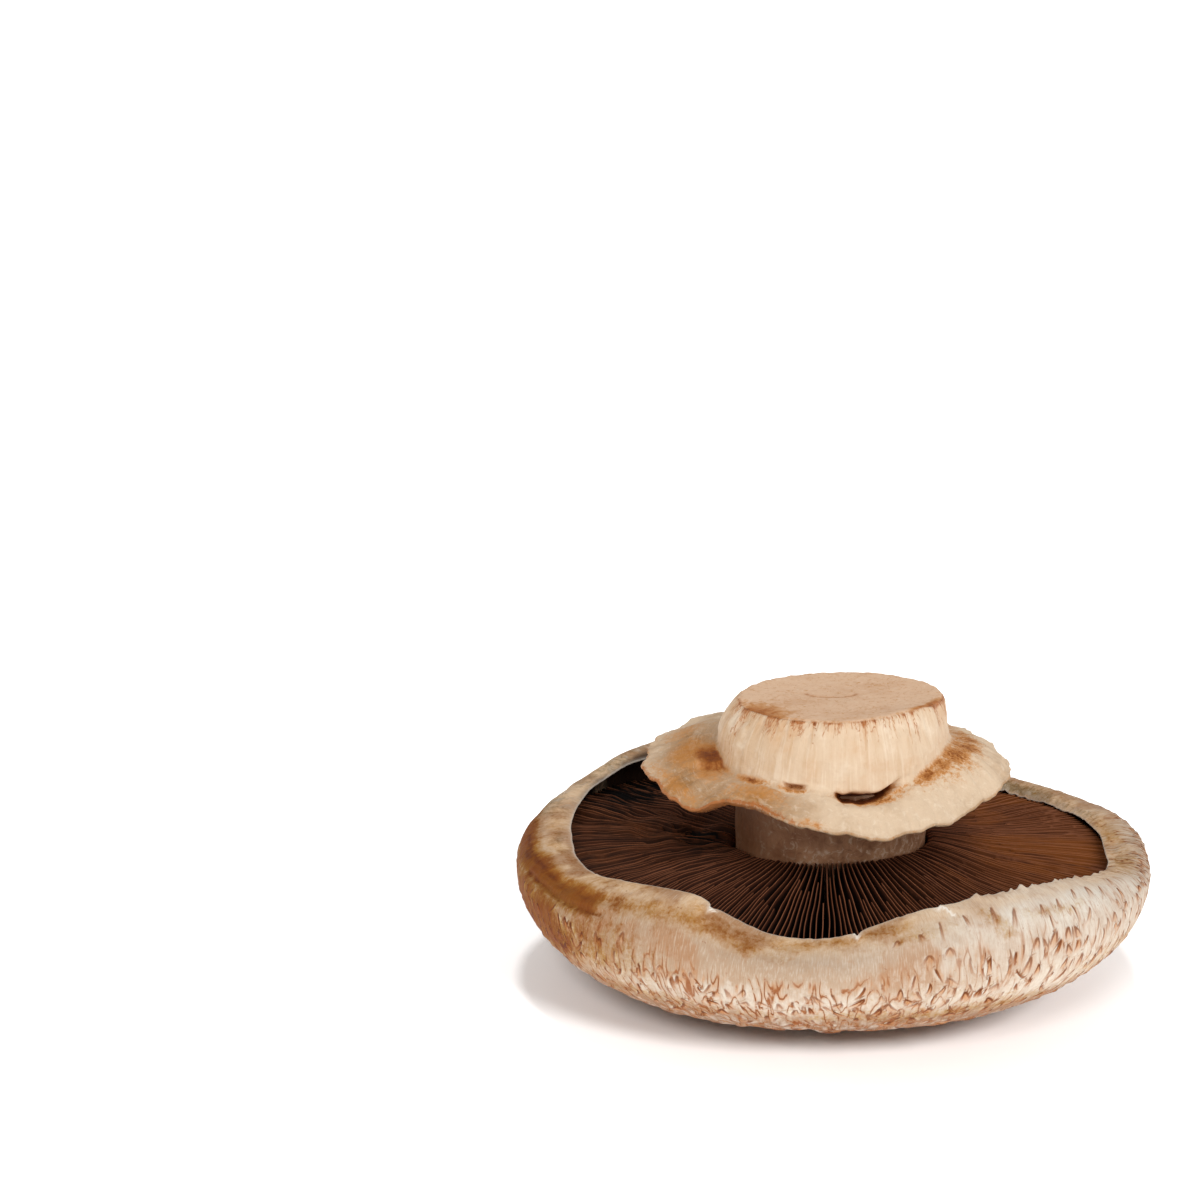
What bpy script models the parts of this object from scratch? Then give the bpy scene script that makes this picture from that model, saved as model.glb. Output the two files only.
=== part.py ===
"""A mature, open button mushroom, picked and trimmed, lying on its cap with the gills and the cut stem up.

It is three solids: the cap with its rolled margin and shaggy scales, the gills, and the stem with the ring that the
veil left on it. They are in metres, with +Z up and the flat spot of the cap on Z = 0, under the middle of the whole.
Angles run in degrees round the stem from +X towards +Y, so 270 faces -Y. Lengths below are in millimetres.
"""

import math
import random

import bpy
import numpy as np

MM = 0.001
GAP = 0.3
STEM_AXIS = (0.41, 1.5)

# Cap: (angle in degrees, value) round the stem's axis
CAP_RADIUS = [(0, 54.2), (20, 54.9), (35, 54.2), (60, 52.6), (90, 52.2), (120, 52.6), (140, 53.3),
              (160, 54.7), (180, 55.6), (195, 55.9), (210, 55.9), (225, 56.1), (240, 56.0), (270, 55.5),
              (300, 55.6), (330, 55.4)]
WIDEST_HEIGHT = [(0, 23.4), (20, 23.4), (45, 22.2), (90, 21.0), (135, 20.4), (160, 20.8), (180, 21.4),
                 (198, 21.0), (215, 19.8), (235, 18.6), (270, 18.5), (315, 20.5), (340, 22.0)]
MARGIN_TOP = [(0, 25.3), (22, 25.8), (45, 25.8), (70, 27.4), (95, 30.4), (120, 32.7), (140, 32.3),
              (155, 30.4), (170, 28.8), (185, 27.2), (200, 26.1), (211, 25.9), (221, 27.1), (235, 28.4),
              (243, 28.2), (250, 25.6), (257, 23.8), (264, 23.3), (272, 24.1), (281, 26.7), (288, 28.3),
              (295, 29.0), (305, 29.5), (319, 29.1), (335, 26.9), (350, 25.2)]
MARGIN_RADIUS = [(0, 45.9), (12, 46.6), (25, 46.8), (45, 46.0), (90, 44.0), (135, 44.0), (160, 45.4),
                 (180, 45.6), (192, 45.6), (204, 46.2), (225, 46.5), (270, 46.5), (315, 46.8), (340, 46.8),
                 (350, 46.6)]
MARGIN_ROLL_DEG = [(0, 125), (45, 138), (90, 140), (122, 136), (138, 125), (150, 114), (165, 112),
                   (185, 110), (210, 104), (270, 100), (330, 104), (350, 112)]
CAP_ROUNDNESS = [(0, 2.2), (90, 2.2), (150, 2.3), (180, 2.6), (212, 3.0), (238, 2.7), (270, 2.25),
                 (300, 2.2), (325, 2.2)]
FLAT_SPOT_RADIUS = 13.0
CAP_COLUMNS = 96
MARGIN_THICKNESS = 0.9
SHOULDER_THICKNESS = 3.2

# Scales on the cap, each one column pair wide, with their tips towards the margin
SCALE_FIRST_ROW = 30.0
SCALE_LAST_ROW = 68.0
SCALE_ROWS = 10
SCALE_TIP_REACH = 1.5
SCALE_SIDE_REACH = -1.1
SCALE_STEP = 0.3
SCALE_DEPTH = 0.6
SCALE_JITTER = 0.5
SMOOTH_MARGIN_ANGLE = 160.0

# Floor of the cap's hollow, under the gills: (radius, height)
FLOOR = [(0.0, 15.0), (18.0, 15.0), (30.0, 15.0), (40.0, 15.0), (45.0, 15.5), (48.2, 16.8)]

# Gills
GILL_COUNT = 72
GILL_THICKNESS = 0.7
GILL_ROOT_THICKNESS = 1.0
GILL_BED = 0.8
GILL_INNER_RADIUS = 16.9
GILL_OUTER_RADIUS = 47.6
SHORT_GILL_START = 31.0
GILL_RINGS = (16.9, 18.3, 29.0, 33.0, 41.0, 47.6)
GILL_TOP = 25.0
GILL_FALL = (0.8, 3.9)
GILL_RISE = [(0, 1.3), (30, 2.6), (60, 2.8), (90, 3.1), (120, 3.6), (140, 4.9), (160, 6.0), (178, 4.6),
             (195, 2.5), (215, 0.7), (240, 0.0), (300, 0.0), (330, 0.2)]
GILL_INNER_DROP = 1.6
GILL_TILT = 0.7
GILL_SHIFT = -0.9
GILL_WAVE_DEG = 1.1

# Stem: (height, radius) of the neck between gills and ring, and of the swelling above the ring
NECK = [(15.3, 16.2), (20.0, 16.3), (26.0, 16.4), (30.0, 16.7), (33.5, 17.1), (35.6, 17.6)]
SWELLING = [(39.0, 18.6), (40.1, 20.2), (41.6, 20.8), (44.5, 20.3),
            (47.5, 19.1), (49.4, 18.2), (50.2, 17.6)]
STEM_COLUMNS = 72
STEM_LEAN = (-0.9, 1.1)
STEM_LEAN_FROM = 28.0
STEM_OVAL = 0.4
STEM_BULGE = 1.1
STEM_BULGE_ANGLE = 183.0
STEM_BULGE_HALF_DEG = 38.0
STEM_RIBS = 18
STEM_RIB_DEPTH = 0.22
CUT_HEIGHT = 50.7
CUT_SLOPE = 0.02
CUT_DISH = 0.4
CUT_RINGS = (17.1, 9.0, 3.0)

# Ring round the stem: (angle in degrees, value) for its outer edge
RING_RADIUS = [(0, 29.5), (30, 28.6), (60, 27.4), (90, 27.0), (120, 28.0), (150, 30.3),
               (175, 33.2), (195, 33.2), (212, 31.0), (228, 27.5), (240, 26.5), (255, 27.5),
               (270, 28.0), (285, 28.5), (300, 28.3), (318, 28.2), (335, 29.2)]
RING_EDGE_HEIGHT = [(0, 39.4), (30, 40.8), (60, 41.2), (90, 40.8), (120, 40.6), (150, 40.0),
                    (175, 39.3), (195, 37.2), (212, 35.4), (228, 36.7), (240, 37.1), (255, 36.2),
                    (270, 35.0), (285, 33.8), (300, 34.6), (318, 35.4), (335, 37.0)]
RING_UNDERSIDE = [(0.45, 2.4), (0.85, 2.0)]
RING_UPPERSIDE = (0.8, 0.5, 0.2)
RING_EDGE_THICKNESS = 1.2
RING_CROWN = 0.9
RING_RAGGED = 0.45

SEED = 7


def around(stations, angles_deg):
    """A smooth closed curve through (angle, value) stations, read at the given angles."""
    angle = np.array([s[0] for s in stations], float)
    value = np.array([s[1] for s in stations], float)
    angle = np.concatenate([angle[-2:] - 360.0, angle, angle[:3] + 360.0])
    value = np.concatenate([value[-2:], value, value[:3]])
    slope = (value[2:] - value[:-2]) / (angle[2:] - angle[:-2])
    at = np.mod(np.asarray(angles_deg, float) - angle[2], 360.0) + angle[2]
    i = np.clip(np.searchsorted(angle, at, side="right") - 1, 1, len(angle) - 3)
    span = angle[i + 1] - angle[i]
    t = (at - angle[i]) / span
    start, end = slope[i - 1] * span, slope[i] * span
    return ((2 * t**3 - 3 * t**2 + 1) * value[i] + (t**3 - 2 * t**2 + t) * start
            + (3 * t**2 - 2 * t**3) * value[i + 1] + (t**3 - t**2) * end)


def angles(columns):
    """The angle of each column, in degrees."""
    return np.arange(columns) * 360.0 / columns


def placed(angles_deg, radius, height, shift_x=0.0):
    """Points in metres from angles, and radii and heights in millimetres."""
    phi = np.radians(angles_deg)
    radius = np.broadcast_to(np.asarray(radius, float), phi.shape)
    height = np.broadcast_to(np.asarray(height, float), phi.shape)
    x = STEM_AXIS[0] + shift_x + radius * np.cos(phi)
    y = STEM_AXIS[1] + radius * np.sin(phi)
    return np.stack([x, y, height], axis=-1) * MM


def make_object(name, points, faces, colour, roughness):
    """A named mesh object with its own material, shaded smooth with sharp steps."""
    mesh = bpy.data.meshes.new(name)
    mesh.from_pydata([tuple(p) for p in points], [], faces)
    mesh.validate()
    mesh.shade_smooth()
    mesh.set_sharp_from_angle(angle=math.radians(40))
    material = bpy.data.materials.new(name)
    material.use_nodes = True
    shader = material.node_tree.nodes["Principled BSDF"]
    shader.inputs["Base Color"].default_value = (*colour, 1.0)
    shader.inputs["Roughness"].default_value = roughness
    shader.inputs["Metallic"].default_value = 0.0
    mesh.materials.append(material)
    obj = bpy.data.objects.new(name, mesh)
    bpy.context.scene.collection.objects.link(obj)
    return obj


def bands(rows, columns):
    """Quads between successive rows of a loft, as indices."""
    faces = []
    for i in range(rows - 1):
        low, high = i * columns, (i + 1) * columns
        for j in range(columns):
            k = (j + 1) % columns
            faces.append((low + j, low + k, high + k, high + j))
    return faces


def fan(row, columns, centre, downward):
    """Triangles that close a row round a centre point."""
    faces = []
    for j in range(columns):
        a, b = row * columns + j, row * columns + (j + 1) % columns
        faces.append((b, a, centre) if downward else (a, b, centre))
    return faces


def cap_section(angles_deg, w):
    """Radius and height of the cap's outside at w: 0 at the middle of the cap, 1 at the widest place, 2 at the edge.

    Below the widest place it is a superellipse that starts from the flat spot, and above it an ellipse that rolls in.
    """
    widest = around(CAP_RADIUS, angles_deg)
    middle = around(WIDEST_HEIGHT, angles_deg)
    roll = np.radians(around(MARGIN_ROLL_DEG, angles_deg))
    reach = (widest - around(MARGIN_RADIUS, angles_deg)) / (1 - np.cos(roll))
    rise = around(MARGIN_TOP, angles_deg) - middle
    power = around(CAP_ROUNDNESS, angles_deg)
    lower = np.clip(w, 0.0, 1.0) * math.pi / 2
    upper = np.clip(w - 1.0, 0.0, 1.0) * roll
    radius = widest * np.sin(lower) ** (2 / power) - reach * (1 - np.cos(upper))
    flat = 1 - np.sqrt(1 - (FLAT_SPOT_RADIUS / 55.0) ** power)
    bowl = np.maximum(0.0, (1 - np.cos(lower) - flat) / (1 - flat))
    return radius, middle * bowl + rise * np.sin(upper)


def mean_length_to_w():
    """Length along the average outside of the cap, in millimetres, against w."""
    w = np.linspace(0.0, 2.0, 401)
    column = angles(24)
    radius, height = (np.mean(part, axis=1) for part in cap_section(column[None, :], w[:, None]))
    length = np.concatenate([[0.0], np.cumsum(np.hypot(np.diff(radius), np.diff(height)))])
    return length, w


def cap_outside(angles_deg, w, sunk=0.0):
    """Radius and height of the cap's outside at w, sunk below it along its normal."""
    step = 1e-3
    radius, height = cap_section(angles_deg, w)
    r0, z0 = cap_section(angles_deg, np.clip(w - step, 0.0, 2.0))
    r1, z1 = cap_section(angles_deg, np.clip(w + step, 0.0, 2.0))
    size = np.hypot(r1 - r0, z1 - z0)
    return radius - sunk * (z1 - z0) / size, height + sunk * (r1 - r0) / size


def scale_rows(column, length, w_of, chance):
    """Two rows for each row of scales: the raised zigzag of their tips, and the sunk line just past it."""
    rows = []
    for k, middle in enumerate(np.linspace(SCALE_FIRST_ROW, SCALE_LAST_ROW, SCALE_ROWS)):
        tip = (np.arange(CAP_COLUMNS) + k) % 2 == 0
        jitter = np.array([chance.uniform(-1, 1) for _ in column]) * SCALE_JITTER
        line = middle + np.where(tip, SCALE_TIP_REACH, SCALE_SIDE_REACH) + jitter
        smooth = 0.7 * (0.5 + 0.5 * np.cos(np.radians(column - SMOOTH_MARGIN_ANGLE)))
        fade = 1.0 - smooth * max(0.0, 1 - (SCALE_ROWS - 1 - k) / 3)
        rows.append(cap_outside(column, np.interp(line, length, w_of)))
        rows.append(cap_outside(column, np.interp(line + SCALE_STEP, length, w_of), SCALE_DEPTH * fade))
    return rows


def build_cap():
    """The cap: flat spot, scaled flank, rolled margin, and the hollow that the gills fill."""
    chance = random.Random(SEED)
    column = angles(CAP_COLUMNS)
    length, w_of = mean_length_to_w()
    rows = [(np.full(CAP_COLUMNS, FLAT_SPOT_RADIUS), np.zeros(CAP_COLUMNS))]
    for along in (17.0, 21.5, 25.5):
        rows.append(cap_outside(column, np.interp(along, length, w_of)))
    rows += scale_rows(column, length, w_of, chance)
    for w in (1.62, 1.8, 2.0):
        rows.append(cap_outside(column, w))
    for w, sunk in ((1.97, MARGIN_THICKNESS), (1.7, 1.7), (1.35, 2.4), (1.0, SHOULDER_THICKNESS)):
        rows.append(cap_outside(column, w, sunk))
    for radius, height in reversed(FLOOR[1:]):
        rows.append((np.full(CAP_COLUMNS, radius), np.full(CAP_COLUMNS, height)))
    points = [placed(column, radius, height) for radius, height in rows]
    points += [placed(np.zeros(1), 0.0, 0.0), placed(np.zeros(1), 0.0, FLOOR[0][1])]
    count = len(rows)
    faces = bands(count, CAP_COLUMNS)
    faces += fan(0, CAP_COLUMNS, count * CAP_COLUMNS, downward=True)
    faces += fan(count - 1, CAP_COLUMNS, count * CAP_COLUMNS + 1, downward=False)
    return make_object("cap", np.concatenate(points), faces, (0.70, 0.53, 0.40), 0.75)


def floor_height(radius):
    """Height of the hollow's floor at a radius."""
    return np.interp(radius, [p[0] for p in FLOOR], [p[1] for p in FLOOR])


def gill_top(radius, angles_deg):
    """Height of the gills' edges: they fall from the stem to the margin, less so at the back and the left."""
    part = (radius - GILL_INNER_RADIUS) / (GILL_OUTER_RADIUS - GILL_INNER_RADIUS)
    drop = GILL_INNER_DROP * max(0.0, 1 - (radius - GILL_INNER_RADIUS) / 1.2)
    tilt = GILL_TILT * np.cos(np.radians(angles_deg - 135.0))
    rise = around(GILL_RISE, angles_deg) * part**2
    return GILL_TOP - GILL_FALL[0] * part - GILL_FALL[1] * part**2 - drop + tilt + rise


def gill_shift(radius):
    """How far a gill ring's middle lies towards -X, to stay round the neck of the stem."""
    return GILL_SHIFT * (GILL_OUTER_RADIUS - radius) / (GILL_OUTER_RADIUS - GILL_INNER_RADIUS)


def gill_columns(radius, wave):
    """Angle and gill share of the eight columns of each gill pair at a radius: a long gill, then a short one."""
    pitch = 360.0 / GILL_COUNT
    per_mm = 360.0 / (2 * math.pi * radius)
    top, root = GILL_THICKNESS / 2 * per_mm, GILL_ROOT_THICKNESS / 2 * per_mm
    offsets = [-root, -top, top, root]
    short = [pitch / 2 + o for o in offsets]
    column = np.array([[i * pitch + o for o in offsets + short] for i in range(GILL_COUNT)])
    part = (radius - GILL_INNER_RADIUS) / (GILL_OUTER_RADIUS - GILL_INNER_RADIUS)
    column += GILL_WAVE_DEG * part * np.sin(wave + 3.5 * part)[:, None]
    raised = np.array([0, 1, 1, 0] + ([0, 1, 1, 0] if radius > SHORT_GILL_START else [0] * 4))
    return column.ravel(), np.tile(raised, GILL_COUNT)


def stitch(fine, coarse, columns, outward):
    """Triangles between a row of eight points a column and a row of one point a column, as indices."""
    faces = []
    for j in range(columns):
        k = (j + 1) % columns
        for m in range(8):
            near, far = fine + 8 * j + m, fine + (8 * j + m + 1) % (8 * columns)
            faces.append((coarse + j, far, near) if outward else (near, far, coarse + j))
        ends = (coarse + j, coarse + k, fine + 8 * k)
        faces.append(ends if outward else ends[::-1])
    return faces


def build_gills():
    """The gills: long and short blades standing on one thin round bed, free of the stem."""
    chance = random.Random(SEED + 1)
    wave = np.array([chance.uniform(-0.6, 0.6) for _ in range(GILL_COUNT)])
    rows = []
    for radius in reversed(GILL_RINGS):
        column, raised = gill_columns(radius, wave)
        bed = floor_height(radius) + GAP + GILL_BED
        height = np.where(raised, gill_top(radius, column), bed)
        rows.append(placed(column, radius, height, gill_shift(radius)))
    fine, base = 8 * GILL_COUNT, 8 * GILL_COUNT * len(rows)
    faces = bands(len(rows), fine)
    under = (GILL_INNER_RADIUS, 33.0, GILL_OUTER_RADIUS)
    for radius in under:
        column = gill_columns(radius, wave)[0][::8]
        rows.append(placed(column, radius, floor_height(radius) + GAP, gill_shift(radius)))
    faces += [tuple(base + i for i in face) for face in bands(len(under), GILL_COUNT)]
    faces += stitch(base - fine, base, GILL_COUNT, outward=False)
    faces += stitch(0, base + (len(under) - 1) * GILL_COUNT, GILL_COUNT, outward=True)
    return make_object("gills", np.concatenate(rows), faces, (0.085, 0.038, 0.018), 0.7)


def stem_shift(height):
    """How far the stem's middle leans towards +X at a height."""
    share = np.clip((height - STEM_LEAN_FROM) / (CUT_HEIGHT - STEM_LEAN_FROM), 0.0, 1.0)
    return STEM_LEAN[0] + (STEM_LEAN[1] - STEM_LEAN[0]) * share


def stem_bulge(angles_deg, height):
    """How far the loose skin at the left of the cut stands out: a bell round the stem that grows up to the cut."""
    gap = (angles_deg - STEM_BULGE_ANGLE + 180.0) % 360.0 - 180.0
    return STEM_BULGE * np.exp(-(gap / STEM_BULGE_HALF_DEG) ** 2) * np.clip((height - 44.0) / 3.5, 0.0, 1.0)


def ring_rows(column):
    """Radius and height of each row of the ring: out along its underside, round its torn edge, and back on top."""
    chance = random.Random(SEED + 2)
    ragged = np.array([chance.uniform(-1, 1) for _ in column]) * RING_RAGGED
    edge = around(RING_RADIUS, column) + ragged
    height = around(RING_EDGE_HEIGHT, column) + 0.5 * ragged
    low_root = NECK[-1][1]
    top_height, top_root = SWELLING[0]
    rows = []
    for share, thickness in RING_UNDERSIDE:
        top = top_height + (height - top_height) * share**1.4
        rows.append((low_root + (edge - low_root) * share, top - thickness))
    rows.append((edge - 0.15, height - RING_EDGE_THICKNESS))
    rows.append((edge, height - 0.35 * RING_EDGE_THICKNESS))
    rows.append((edge - 0.5, height))
    for share in RING_UPPERSIDE:
        top = top_height + (height - top_height) * share**1.4 + RING_CROWN * math.sin(math.pi * share)
        rows.append((top_root + (edge - top_root) * share, top))
    return rows


def build_stem():
    """The stem in one piece: grey neck, torn ring, fibrous swelling above it, and the flat cut."""
    column = angles(STEM_COLUMNS)
    phi = np.radians(column)
    rows = [placed(column, radius, height, stem_shift(height)) for height, radius in NECK]
    ring_shift = stem_shift((NECK[-1][0] + SWELLING[0][0]) / 2)
    rows += [placed(column, radius, height, ring_shift) for radius, height in ring_rows(column)]
    for height, radius in SWELLING:
        swollen = np.clip((height - 39.0) / 2.0, 0.0, 1.0) * np.clip((50.2 - height) / 6.0, 0.0, 1.0)
        ribs = STEM_RIB_DEPTH * np.cos(STEM_RIBS * phi) * np.clip((height - 40.0) / 3.0, 0.0, 1.0)
        wide = radius - STEM_OVAL * np.cos(phi) * swollen + ribs + stem_bulge(column, height)
        rows.append(placed(column, wide, height, stem_shift(height)))
    for radius in CUT_RINGS:
        dish = CUT_DISH * (1 - (radius / CUT_RINGS[0]) ** 2)
        height = CUT_HEIGHT + CUT_SLOPE * radius * np.cos(phi) - dish
        wide = radius + stem_bulge(column, CUT_HEIGHT) * (radius / CUT_RINGS[0]) ** 4
        rows.append(placed(column, wide, height, stem_shift(CUT_HEIGHT)))
    ends = [placed(np.zeros(1), 0.0, NECK[0][0], stem_shift(0.0)),
            placed(np.zeros(1), 0.0, CUT_HEIGHT - CUT_DISH, stem_shift(CUT_HEIGHT))]
    count = len(rows)
    faces = bands(count, STEM_COLUMNS)
    faces += fan(0, STEM_COLUMNS, count * STEM_COLUMNS, downward=True)
    faces += fan(count - 1, STEM_COLUMNS, count * STEM_COLUMNS + 1, downward=False)
    return make_object("stem", np.concatenate(rows + ends), faces, (0.80, 0.64, 0.44), 0.7)


def main():
    for old in list(bpy.data.objects):
        bpy.data.objects.remove(old)
    build_cap()
    build_gills()
    build_stem()


main()
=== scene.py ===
"""Looks of an open button mushroom that lies on its cap, gills up, with its torn ring and cut stem.

Every surface is a function of two parameters on a grid, in millimetres round the stem's axis, and goes into its mesh
in metres. Angles run in degrees from +X towards +Y, so 270 faces the camera.
"""
import logging
import math
from dataclasses import dataclass, field
from enum import Enum
from typing import Any

import bpy
import numpy as np
from mathutils import Matrix


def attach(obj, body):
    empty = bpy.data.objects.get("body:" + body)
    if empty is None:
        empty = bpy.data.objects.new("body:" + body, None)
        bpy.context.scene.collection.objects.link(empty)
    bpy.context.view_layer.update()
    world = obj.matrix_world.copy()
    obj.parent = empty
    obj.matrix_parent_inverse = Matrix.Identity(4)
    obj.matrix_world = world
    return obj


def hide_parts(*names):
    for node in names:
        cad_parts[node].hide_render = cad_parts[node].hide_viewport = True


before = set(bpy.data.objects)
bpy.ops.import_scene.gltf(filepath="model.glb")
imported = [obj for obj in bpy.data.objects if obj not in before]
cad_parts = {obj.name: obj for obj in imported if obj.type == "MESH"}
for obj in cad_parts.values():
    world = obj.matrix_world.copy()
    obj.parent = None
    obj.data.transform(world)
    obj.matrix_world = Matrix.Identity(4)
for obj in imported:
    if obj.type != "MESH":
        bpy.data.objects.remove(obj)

LOG = logging.getLogger("mushroom")
MM = 0.001
AXIS = np.array([0.41, 1.5, 0.0])
Colour = tuple[float, float, float]


class Blend(Enum):
    """How one colour goes over another: it covers it, or stains it."""

    COVER = "MIX"
    STAIN = "MULTIPLY"


def rgb(*levels: int) -> Colour:
    """Red, green and blue from 0 to 1 in linear light, from display values of 0 to 255, by the sRGB curve."""
    shares = (level / 255.0 for level in levels)
    return tuple(s / 12.92 if s <= 0.04045 else ((s + 0.055) / 1.055) ** 2.4 for s in shares)


def ease(value: np.ndarray, low: float, high: float) -> np.ndarray:
    """Smooth step: 0 below low, 1 above high, and 3t^2 - 2t^3 between."""
    t = np.clip((value - low) / (high - low), 0.0, 1.0)
    return t * t * (3.0 - 2.0 * t)


def turn_gap(angle: np.ndarray, centre: float | np.ndarray) -> np.ndarray:
    """Signed shortest turn from centre to angle, in degrees."""
    return (angle - centre + 180.0) % 360.0 - 180.0


def bell(angle: np.ndarray, centre: float, half: float, power: float = 2.0) -> np.ndarray:
    """1 at the centre, and exp(-(turn from it / half)^power) beside it."""
    return np.exp(-np.abs(turn_gap(angle, centre) / half) ** power)


def cosine(angle: np.ndarray) -> np.ndarray:
    """Cosine of an angle in degrees."""
    return np.cos(np.radians(angle))


@dataclass(frozen=True)
class Round:
    """A smooth closed curve of values round the stem, through (angle, value) stations."""

    stations: tuple[tuple[float, float], ...]

    def at(self, angle: np.ndarray) -> np.ndarray:
        """Cubic through the stations, whose slope at each is the chord of its neighbours.

        Args:
            angle: angles in degrees, any shape.

        Returns:
            The values there, in the same shape.
        """
        a = np.array([s[0] for s in self.stations], float)
        v = np.array([s[1] for s in self.stations], float)
        a = np.concatenate([a[-2:] - 360.0, a, a[:3] + 360.0])
        v = np.concatenate([v[-2:], v, v[:3]])
        slope = (v[2:] - v[:-2]) / (a[2:] - a[:-2])
        x = np.mod(angle - a[2], 360.0) + a[2]
        i = np.clip(np.searchsorted(a, x, side="right") - 1, 1, len(a) - 3)
        span = a[i + 1] - a[i]
        t = (x - a[i]) / span
        return ((2 * t**3 - 3 * t**2 + 1) * v[i] + (t**3 - 2 * t**2 + t) * slope[i - 1] * span
                + (3 * t**2 - 2 * t**3) * v[i + 1] + (t**3 - t**2) * slope[i] * span)


@dataclass(frozen=True)
class Grain:
    """Seeded smooth noise that closes on itself round the stem."""

    seed: int

    def at(self, angle: np.ndarray, along: np.ndarray, round_cells: int, cell: float) -> np.ndarray:
        """Random values on a lattice, blended by smooth steps in both directions.

        Args:
            angle: angles in degrees.
            along: lengths in the same unit as cell.
            round_cells: lattice cells in a full turn.
            cell: length of a lattice cell.

        Returns:
            Noise between -1 and 1.
        """
        u = np.mod(angle / 360.0, 1.0) * round_cells
        v = along / cell
        u, v = np.broadcast_arrays(u, v)
        low = int(np.floor(v.min()))
        rows = int(np.floor(v.max())) - low + 2
        lattice = np.random.default_rng(self.seed).uniform(-1.0, 1.0, (rows, round_cells))
        i, j = np.floor(u).astype(int), np.floor(v).astype(int) - low
        s, t = u - np.floor(u), v - np.floor(v)
        s, t = s * s * (3 - 2 * s), t * t * (3 - 2 * t)
        i0, i1 = i % round_cells, (i + 1) % round_cells
        near = lattice[j, i0] * (1 - s) + lattice[j, i1] * s
        far = lattice[j + 1, i0] * (1 - s) + lattice[j + 1, i1] * s
        return near * (1 - t) + far * t

    def layered(self, angle: np.ndarray, along: np.ndarray, round_cells: int, cell: float, layers: int) -> np.ndarray:
        """Sum of finer and fainter layers: each has twice the cells and half the weight of the one before.

        Args:
            angle: angles in degrees.
            along: lengths in the same unit as cell.
            round_cells: the first layer's cells in a full turn.
            cell: length of the first layer's cells.
            layers: how many layers.

        Returns:
            Noise between -1 and 1.
        """
        total = np.zeros(np.broadcast(angle, along).shape)
        for k in range(layers):
            total += Grain(self.seed + 17 * k).at(angle, along, round_cells << k, cell / (1 << k)) * 0.5**k
        return total / (2.0 - 0.5 ** (layers - 1))

    def around(self, angle: np.ndarray, round_cells: int, layers: int = 1) -> np.ndarray:
        """Layered noise that changes only round the stem."""
        return self.layered(angle, np.zeros_like(angle), round_cells, 1.0, layers)


@dataclass
class Sheet:
    """A closed surface on a grid: rows of the same number of columns, closed round the stem.

    An open first or last row is closed by a fan to its own middle. A looped sheet joins its last row to its first.
    """

    name: str
    radius: np.ndarray
    height: np.ndarray
    angle: np.ndarray
    shift: np.ndarray | float = 0.0
    values: dict[str, np.ndarray] = field(default_factory=dict)
    looped: bool = False

    def points(self) -> np.ndarray:
        """Radius, angle and height turned into x, y and z, with the middle shifted along x.

        Returns:
            The grid of points, in metres.
        """
        shape = self.radius.shape
        angle = np.radians(np.broadcast_to(self.angle, shape))
        x = self.shift + self.radius * np.cos(angle)
        y = self.radius * np.sin(angle)
        return (np.stack([x, y, self.height], axis=-1) + AXIS) * MM

    def faces(self) -> list[list[int]]:
        """Quads between rows, and for an unlooped sheet a fan of triangles at each end.

        Returns:
            The faces, as numbers of their points.
        """
        rows, columns = self.radius.shape
        index = np.arange(rows * columns).reshape(rows, columns)
        if self.looped:
            index = np.vstack([index, index[:1]])
        low, high = index[:-1], index[1:]
        quads = np.stack([low, np.roll(low, -1, 1), np.roll(high, -1, 1), high], axis=-1).reshape(-1, 4).tolist()
        if self.looped:
            return quads
        start, end = rows * columns, rows * columns + 1
        first, last = index[0], index[-1]
        quads += np.stack([np.roll(first, -1), first, np.full(columns, start)], axis=-1).tolist()
        quads += np.stack([last, np.roll(last, -1), np.full(columns, end)], axis=-1).tolist()
        return quads

    def build(self, material: bpy.types.Material) -> bpy.types.Object:
        """Puts the grid and its values into a mesh object.

        Args:
            material: the finish of the whole sheet.

        Returns:
            The object, at the origin, shaded smooth.
        """
        grid = self.points()
        points = grid.reshape(-1, 3)
        if not self.looped:
            points = np.vstack([points, grid[0].mean(axis=0), grid[-1].mean(axis=0)])
        mesh = bpy.data.meshes.new(self.name)
        mesh.from_pydata(points, [], self.faces())
        for key, value in self.values.items():
            value = np.broadcast_to(value, self.radius.shape)
            flat = value.ravel()
            if not self.looped:
                flat = np.concatenate([flat, [value[0].mean(), value[-1].mean()]])
            mesh.attributes.new(key, "FLOAT", "POINT").data.foreach_set("value", flat.astype(np.float32))
        mesh.shade_smooth()
        mesh.materials.append(material)
        piece = bpy.data.objects.new(self.name, mesh)
        bpy.context.scene.collection.objects.link(piece)
        return piece


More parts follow.
